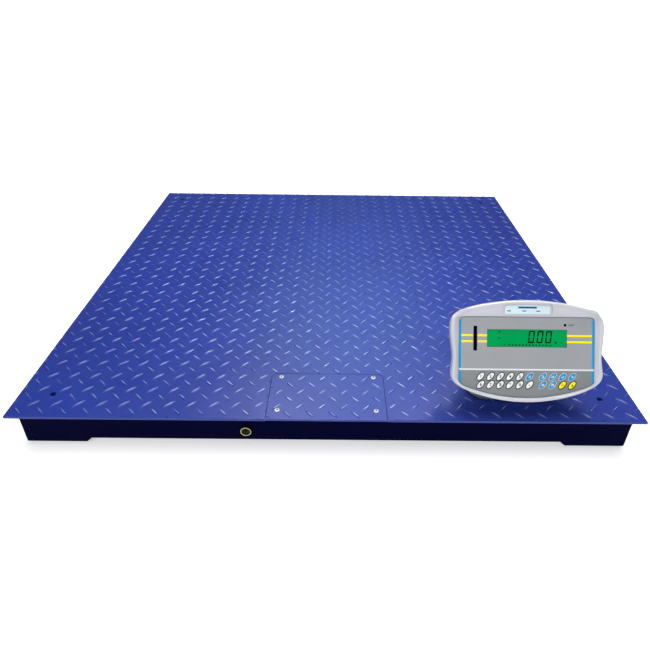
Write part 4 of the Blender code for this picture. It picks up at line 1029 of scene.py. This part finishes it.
def make_label(face):
    """A plain card in the pocket of the rim, for the capacity that the owner sets."""
    piece = Piece("capacity_label", "case_plastic")
    rise = math.atan2(LABEL_RISE, LABEL_TOP - LABEL_BOTTOM)
    outline = [(-0.0405, 0.0025), (0.0415, 0.0025)]
    for i in range(13):
        x = 0.0415 - 0.082 * i / 12
        outline.append((x, 0.0186 - x * x / (2 * CASE_TOP_RADIUS)))
    piece.flat(outline, 0.00002, "label_paper", 0.0003)
    top = 0.00032
    piece.flat(rectangle(0.034, 0.0034, (0.0, 0.0142)), top, "label_ink")
    for x in (-0.034, -0.006, 0.02):
        piece.flat(rectangle(0.0072, 0.0018, (x, 0.0078)), top, "label_ink")
    matrix = face @ Matrix.Translation((0, LABEL_BOTTOM, LABEL_BOTTOM_Z)) @ Matrix.Rotation(rise, 4, "X")
    piece.place("indicator", matrix)


def make_status_light(face):
    rings = [at_height(circle(STATUS_LIGHT_RADIUS * share, 24), z)
             for share, z in ((0.93, -0.003), (0.93, -0.0002), (0.85, 0.0001), (0.6, 0.0005), (0.25, 0.0007))]
    piece = Piece("status_light", "black_lens").add(loft("light", rings), "black_lens")
    piece.place("indicator", face @ Matrix.Translation((*STATUS_LIGHT_CENTRE, OVERLAY_TOP)))


def make_rear_shell(face):
    """The drafted back of the case, with the hump that holds the battery."""
    skin = [at_height(case_section(inset), z) for inset, z in (
        (0.0034, PART_LINE_Z - 0.0003), (0.003, PART_LINE_Z - 0.0009), (0.0042, -0.0315), (0.0055, -0.036),
        (0.0072, -0.0395), (0.0095, -0.0428), (0.0118, -0.0451), (0.0141, -0.0464), (0.0165, BACK_Z))]
    shell = loft("rear_shell", skin)
    width, height, middle = 0.176, 0.105, (0, -0.0075)
    ease = 0.0022
    hump = [at_height(rounded_rectangle(width - 2 * shrink, height - 2 * shrink, 0.01 - shrink, middle, 8), z)
            for shrink, z in ((0, BACK_Z + 0.003), (0, HUMP_BACK_Z + ease),
                              (ease * 0.3, HUMP_BACK_Z + ease * 0.3), (ease, HUMP_BACK_Z))]
    shell = carve(shell, [loft("hump", hump)], "UNION")
    cutters = [prism("hatch", rectangle(0.108, 0.04, HATCH_CENTRE), HUMP_BACK_Z - 0.01, -0.07),
               prism("bay", rectangle(0.134, 0.052, HATCH_CENTRE), HUMP_BACK_Z + 0.0025, -0.0505),
               prism("port", circle(0.0072, 32, SOCKET_CENTRE), BACK_Z - 0.01, BACK_Z + 0.006)]
    bore = prism("bore", circle(0.0034, 24), -0.1, 0.1)
    pivot = Matrix.Translation((0, -PIVOT_TO_FACE[0], -PIVOT_TO_FACE[1]))
    bore.transform(pivot @ Matrix.Rotation(math.pi / 2, 4, "Y"))
    cutters.append(bore)
    for number in range(7):
        vent = rounded_rectangle(0.03, 0.0016, 0.0007, (0.0, 0.012 + number * 0.0042), 3)
        cutters.append(prism("vent", vent, HUMP_BACK_Z - 0.002, HUMP_BACK_Z + 0.0016))
    piece = Piece("rear_shell", "case_plastic").add(carve(shell, cutters), "case_plastic")
    made = piece.place("indicator", face, SHELL_SMOOTH_ANGLE)
    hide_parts("rear_case")


def pan_screw(head_radius, head_height):
    """A pan head with a cross recess, standing up along z."""
    shape = ((1.0, 0.0), (1.0, 0.35), (0.93, 0.7), (0.75, 0.92), (0.45, 1.0))
    rings = [at_height(circle(head_radius * share, 28), head_height * height) for share, height in shape]
    head = loft("head", rings)
    slots = [prism("slot", rectangle(head_radius * x, head_radius * y), head_height * 0.5, head_height * 2)
             for x, y in ((1.1, 0.24), (0.24, 1.1))]
    return carve(head, slots)


def make_back_details(face):
    """Case screws, the rating card, the socket's pins and nut, and the grip on the battery cover."""
    screws = Piece("case_screws", "zinc")
    for x, y in ((-0.106, 0.056), (0.106, 0.062), (-0.106, -0.046), (0.106, -0.046)):
        flip = Matrix.Translation((x, y, BACK_Z + 0.0002)) @ Matrix.Rotation(math.pi, 4, "X")
        screws.add(pan_screw(0.0032, 0.0018), "zinc", flip)
    screws.place("indicator", face)
    card = Piece("rating_card", "overlay_film")
    outline = rounded_rectangle(0.05, 0.024, 0.002, (CARD_X, 0.027), 4)
    card.add(prism("card", outline, HUMP_BACK_Z - 0.0002, HUMP_BACK_Z + 0.0001), "label_paper")
    for number in range(4):
        bar = rectangle(0.04 - 0.006 * (number % 2), 0.0012, (CARD_X, 0.0345 - number * 0.0048))
        card.add(prism("bar", bar, HUMP_BACK_Z - 0.00026, HUMP_BACK_Z), "print_grey")
    card.place("indicator", face)
    pins = Piece("socket_pins", "brass")
    for number in range(6):
        turn = math.tau * number / 6
        spot = (SOCKET_CENTRE[0] + 0.0036 * math.cos(turn), SOCKET_CENTRE[1] + 0.0036 * math.sin(turn))
        pins.add(prism("pin", circle(0.0005, 12, spot), -0.0568, -0.0492), "brass")
    pins.add(prism("insert", circle(0.0061, 32, SOCKET_CENTRE), -0.0507, -0.0493), "black_plastic")
    pins.place("indicator", face)
    grip = Piece("battery_cover_grip", "case_plastic")
    for number in range(6):
        length = 0.022 - abs(number - 2.5) * 0.0012
        ridge = rounded_rectangle(length, 0.0012, 0.0005, (0, -0.0435 + number * 0.0028), 3)
        grip.add(prism("ridge", ridge, BATTERY_COVER_BACK_Z - 0.0007, BATTERY_COVER_BACK_Z + 0.0002),
                 "case_plastic")
    grip.place("battery_door", face)


# Platform details


def make_seam_seal_and_shade():
    """A thin bead of dark sealant laid over the seam between the access cover and the deck, dark also as
    painted shade for the seam's gap.
    """
    overlap = 0.0004
    half, back, front = COVER_HIGH.x, COVER_HIGH.y, COVER_LOW.y

    def run(grow):
        radius = COVER_CORNER + grow
        points = [(half + grow, front)]
        for side, start in ((1, 0), (-1, 90)):
            for step in range(9):
                turn = math.radians(start + 90 * step / 8)
                points.append((side * (half - COVER_CORNER) + radius * math.cos(turn),
                               back - COVER_CORNER + radius * math.sin(turn)))
        return points + [(-half - grow, front)]

    outline = run(SEAM + overlap) + run(-overlap)[::-1]
    piece = Piece("seam_seal_and_shade", "rubber")
    # The bead's dark colour is partly sealant and partly painted shade of the seam's gap
    piece.add(plate("seal", [outline], DECK_TOP + 0.00005, DECK_TOP + 0.0002), "seam_sealant_and_shade")
    piece.place("platform")


def make_gland_details():
    """The rubber seal inside the cable gland and the worn collar round its mouth."""
    centre = middle_of("cable_gland")
    centre.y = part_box("cable_gland")[0].y
    seal = Piece("gland_seal", "rubber")
    profile = ((0.0067, 0.0), (0.0067, 0.012), (0.0046, 0.012), (0.0044, 0.006), (0.0048, 0.0025),
               (0.006, 0.0012))
    rings = [at_height(circle(radius, 40), z) for radius, z in profile]
    turn = Matrix.Translation(centre + Vector((0, 0.0008, 0))) @ Matrix.Rotation(-math.pi / 2, 4, "X")
    seal.add(loft("seal", rings, hollow=True), "rubber", turn)
    seal.place("platform")
    collar = Piece("gland_collar", "brass")
    turn = Matrix.Translation(centre) @ Matrix.Rotation(math.pi / 2, 4, "X")
    for outer, inner, height, finish in ((0.0102, 0.0088, 0.0006, "brass"),
                                         (0.0087, 0.0069, 0.0003, "socket_black")):
        collar.add(plate("ring", [circle(outer, 40), circle(inner, 40)], 0, height), finish, turn)
    collar.place("platform")


def make_platform_screws():
    """Painted shade for the sockets in the cover's screws, as flat dark discs on their heads, then the
    junction box's screws and the load cells' bolts.
    """
    sockets = Piece("cover_screw_socket_shade", "zinc")
    for number in range(1, 5):
        name = f"cover_screw_{number}"
        # A flat dark disc on each head: painted shade for the hollow of its socket
        sockets.flat(circle(0.0021, 24, middle_of(name).xy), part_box(name)[1].z + 0.00005, "socket_black")
    sockets.place("cover")
    low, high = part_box("junction_box_lid")
    screws = Piece("lid_screws", "zinc")
    for x in (low.x + 0.007, high.x - 0.007):
        for y in (low.y + 0.007, high.y - 0.007):
            screws.add(pan_screw(0.0028, 0.0014), "zinc", Matrix.Translation((x, y, high.z - 0.0001)))
    screws.place("platform")
    bolts = Piece("cell_bolts", "zinc")
    for name in ("front_left", "front_right", "rear_left", "rear_right"):
        low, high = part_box(f"load_cell_{name}")
        side, inner = (-1, high.x) if low.x < 0 else (1, low.x)
        for offset in (0.019, 0.047):
            spot = (inner + side * offset, (low.y + high.y) / 2)
            bolts.add(prism("washer", circle(0.0105, 32, spot), low.z - 0.0018, low.z - 0.00005), "zinc")
            bolts.add(prism("bolt", circle(0.0082, 6, spot), low.z - 0.0082, low.z - 0.0018), "zinc")
    bolts.place("platform")


# Stage


def make_stage():
    bm = bmesh.new()
    bmesh.ops.create_grid(bm, x_segments=2, y_segments=2, size=12)
    mesh = bpy.data.meshes.new("floor")
    bm.to_mesh(mesh)
    bm.free()
    mesh.materials.append(MATERIALS["floor"])
    linked("floor", mesh)


def area_light(name, place, target, size, power, colour=(1, 1, 1), spread=180):
    """A lamp aimed at a target. A narrower spread keeps its light closer to that aim."""
    light = bpy.data.lights.new(name, "AREA")
    light.shape = "RECTANGLE"
    light.size, light.size_y = size
    light.energy = power
    light.color = colour
    light.spread = math.radians(spread)
    made = linked(name, light)
    made.location = place
    made.rotation_euler = (Vector(target) - Vector(place)).to_track_quat("-Z", "Y").to_euler()


def sun(name, direction, strength, angle):
    """A distant light that shines down from a direction. Its angle softens the shadows."""
    light = bpy.data.lights.new(name, "SUN")
    light.energy = strength
    light.angle = math.radians(angle)
    made = linked(name, light)
    made.rotation_euler = Vector(direction).to_track_quat("Z", "Y").to_euler()


def make_lights():
    """A white backdrop for the camera, and for the object a dim surround, a soft sun and area lamps."""
    world = bpy.data.worlds.new("studio")
    bpy.context.scene.world = world
    world.use_nodes = True
    tree = world.node_tree
    background = tree.nodes["Background"]
    background.inputs["Color"].default_value = (1, 1, 1, 1)
    path = tree.nodes.new("ShaderNodeLightPath")
    strength = remap(tree, path.outputs["Is Camera Ray"], 0.0, 1.0, 0.13, 1.05)
    link(tree, strength, background.inputs["Strength"])
    sun("soft_sun", (0.05, 0.15, 1), 2.1, 56)
    area_light("back_light", (0.12, 2.6, 2.35), (0.08, -0.45, 0.085), (1.3, 1.0), 16, (0.5, 0.85, 1.0))
    area_light("rear_light", (0, 0.55, 2.2), (0, 0.5, 0.085), (1.4, 0.9), 7, spread=100)
    area_light("glint_light_right", (0.75, 0.75, 2.2), (0.05, -0.46, 0.085), (0.3, 0.3), 1.5, spread=50)
    area_light("glint_light_left", (-0.34, 1.16, 2.07), (0.05, -0.46, 0.085), (0.25, 0.25), 0.65, spread=50)
    area_light("front_light", (-0.5, -2.9, 1.9), (0.35, -0.5, 0.2), (1.6, 1.2), 38)


def make_camera():
    """The camera that sees the deck as a person standing at its front edge does."""
    data = bpy.data.cameras.new("camera")
    data.lens = CAMERA_LENS
    data.sensor_width = CAMERA_SENSOR
    data.shift_x = CAMERA_SHIFT
    data.clip_start = 0.05
    camera = linked("camera", data)
    turn = Matrix.Rotation(CAMERA_YAW, 4, "Z") @ Matrix.Rotation(math.pi / 2 - CAMERA_PITCH, 4, "X")
    turn = turn @ Matrix.Rotation(CAMERA_ROLL, 4, "Z")
    camera.matrix_world = Matrix.Translation(CAMERA_PLACE) @ turn
    bpy.context.scene.camera = camera


bpy.context.scene.view_settings.view_transform = "Standard"
make_camera()
make_materials()
finish_nodes()
make_tread()
FACE = face_matrix()
for make in (make_front_shell, make_overlay, make_prints, make_keys, make_display, make_label,
             make_status_light, make_rear_shell, make_back_details):
    make(FACE)
make_gland_details()
make_platform_screws()
make_seam_seal_and_shade()
make_stage()
make_lights()
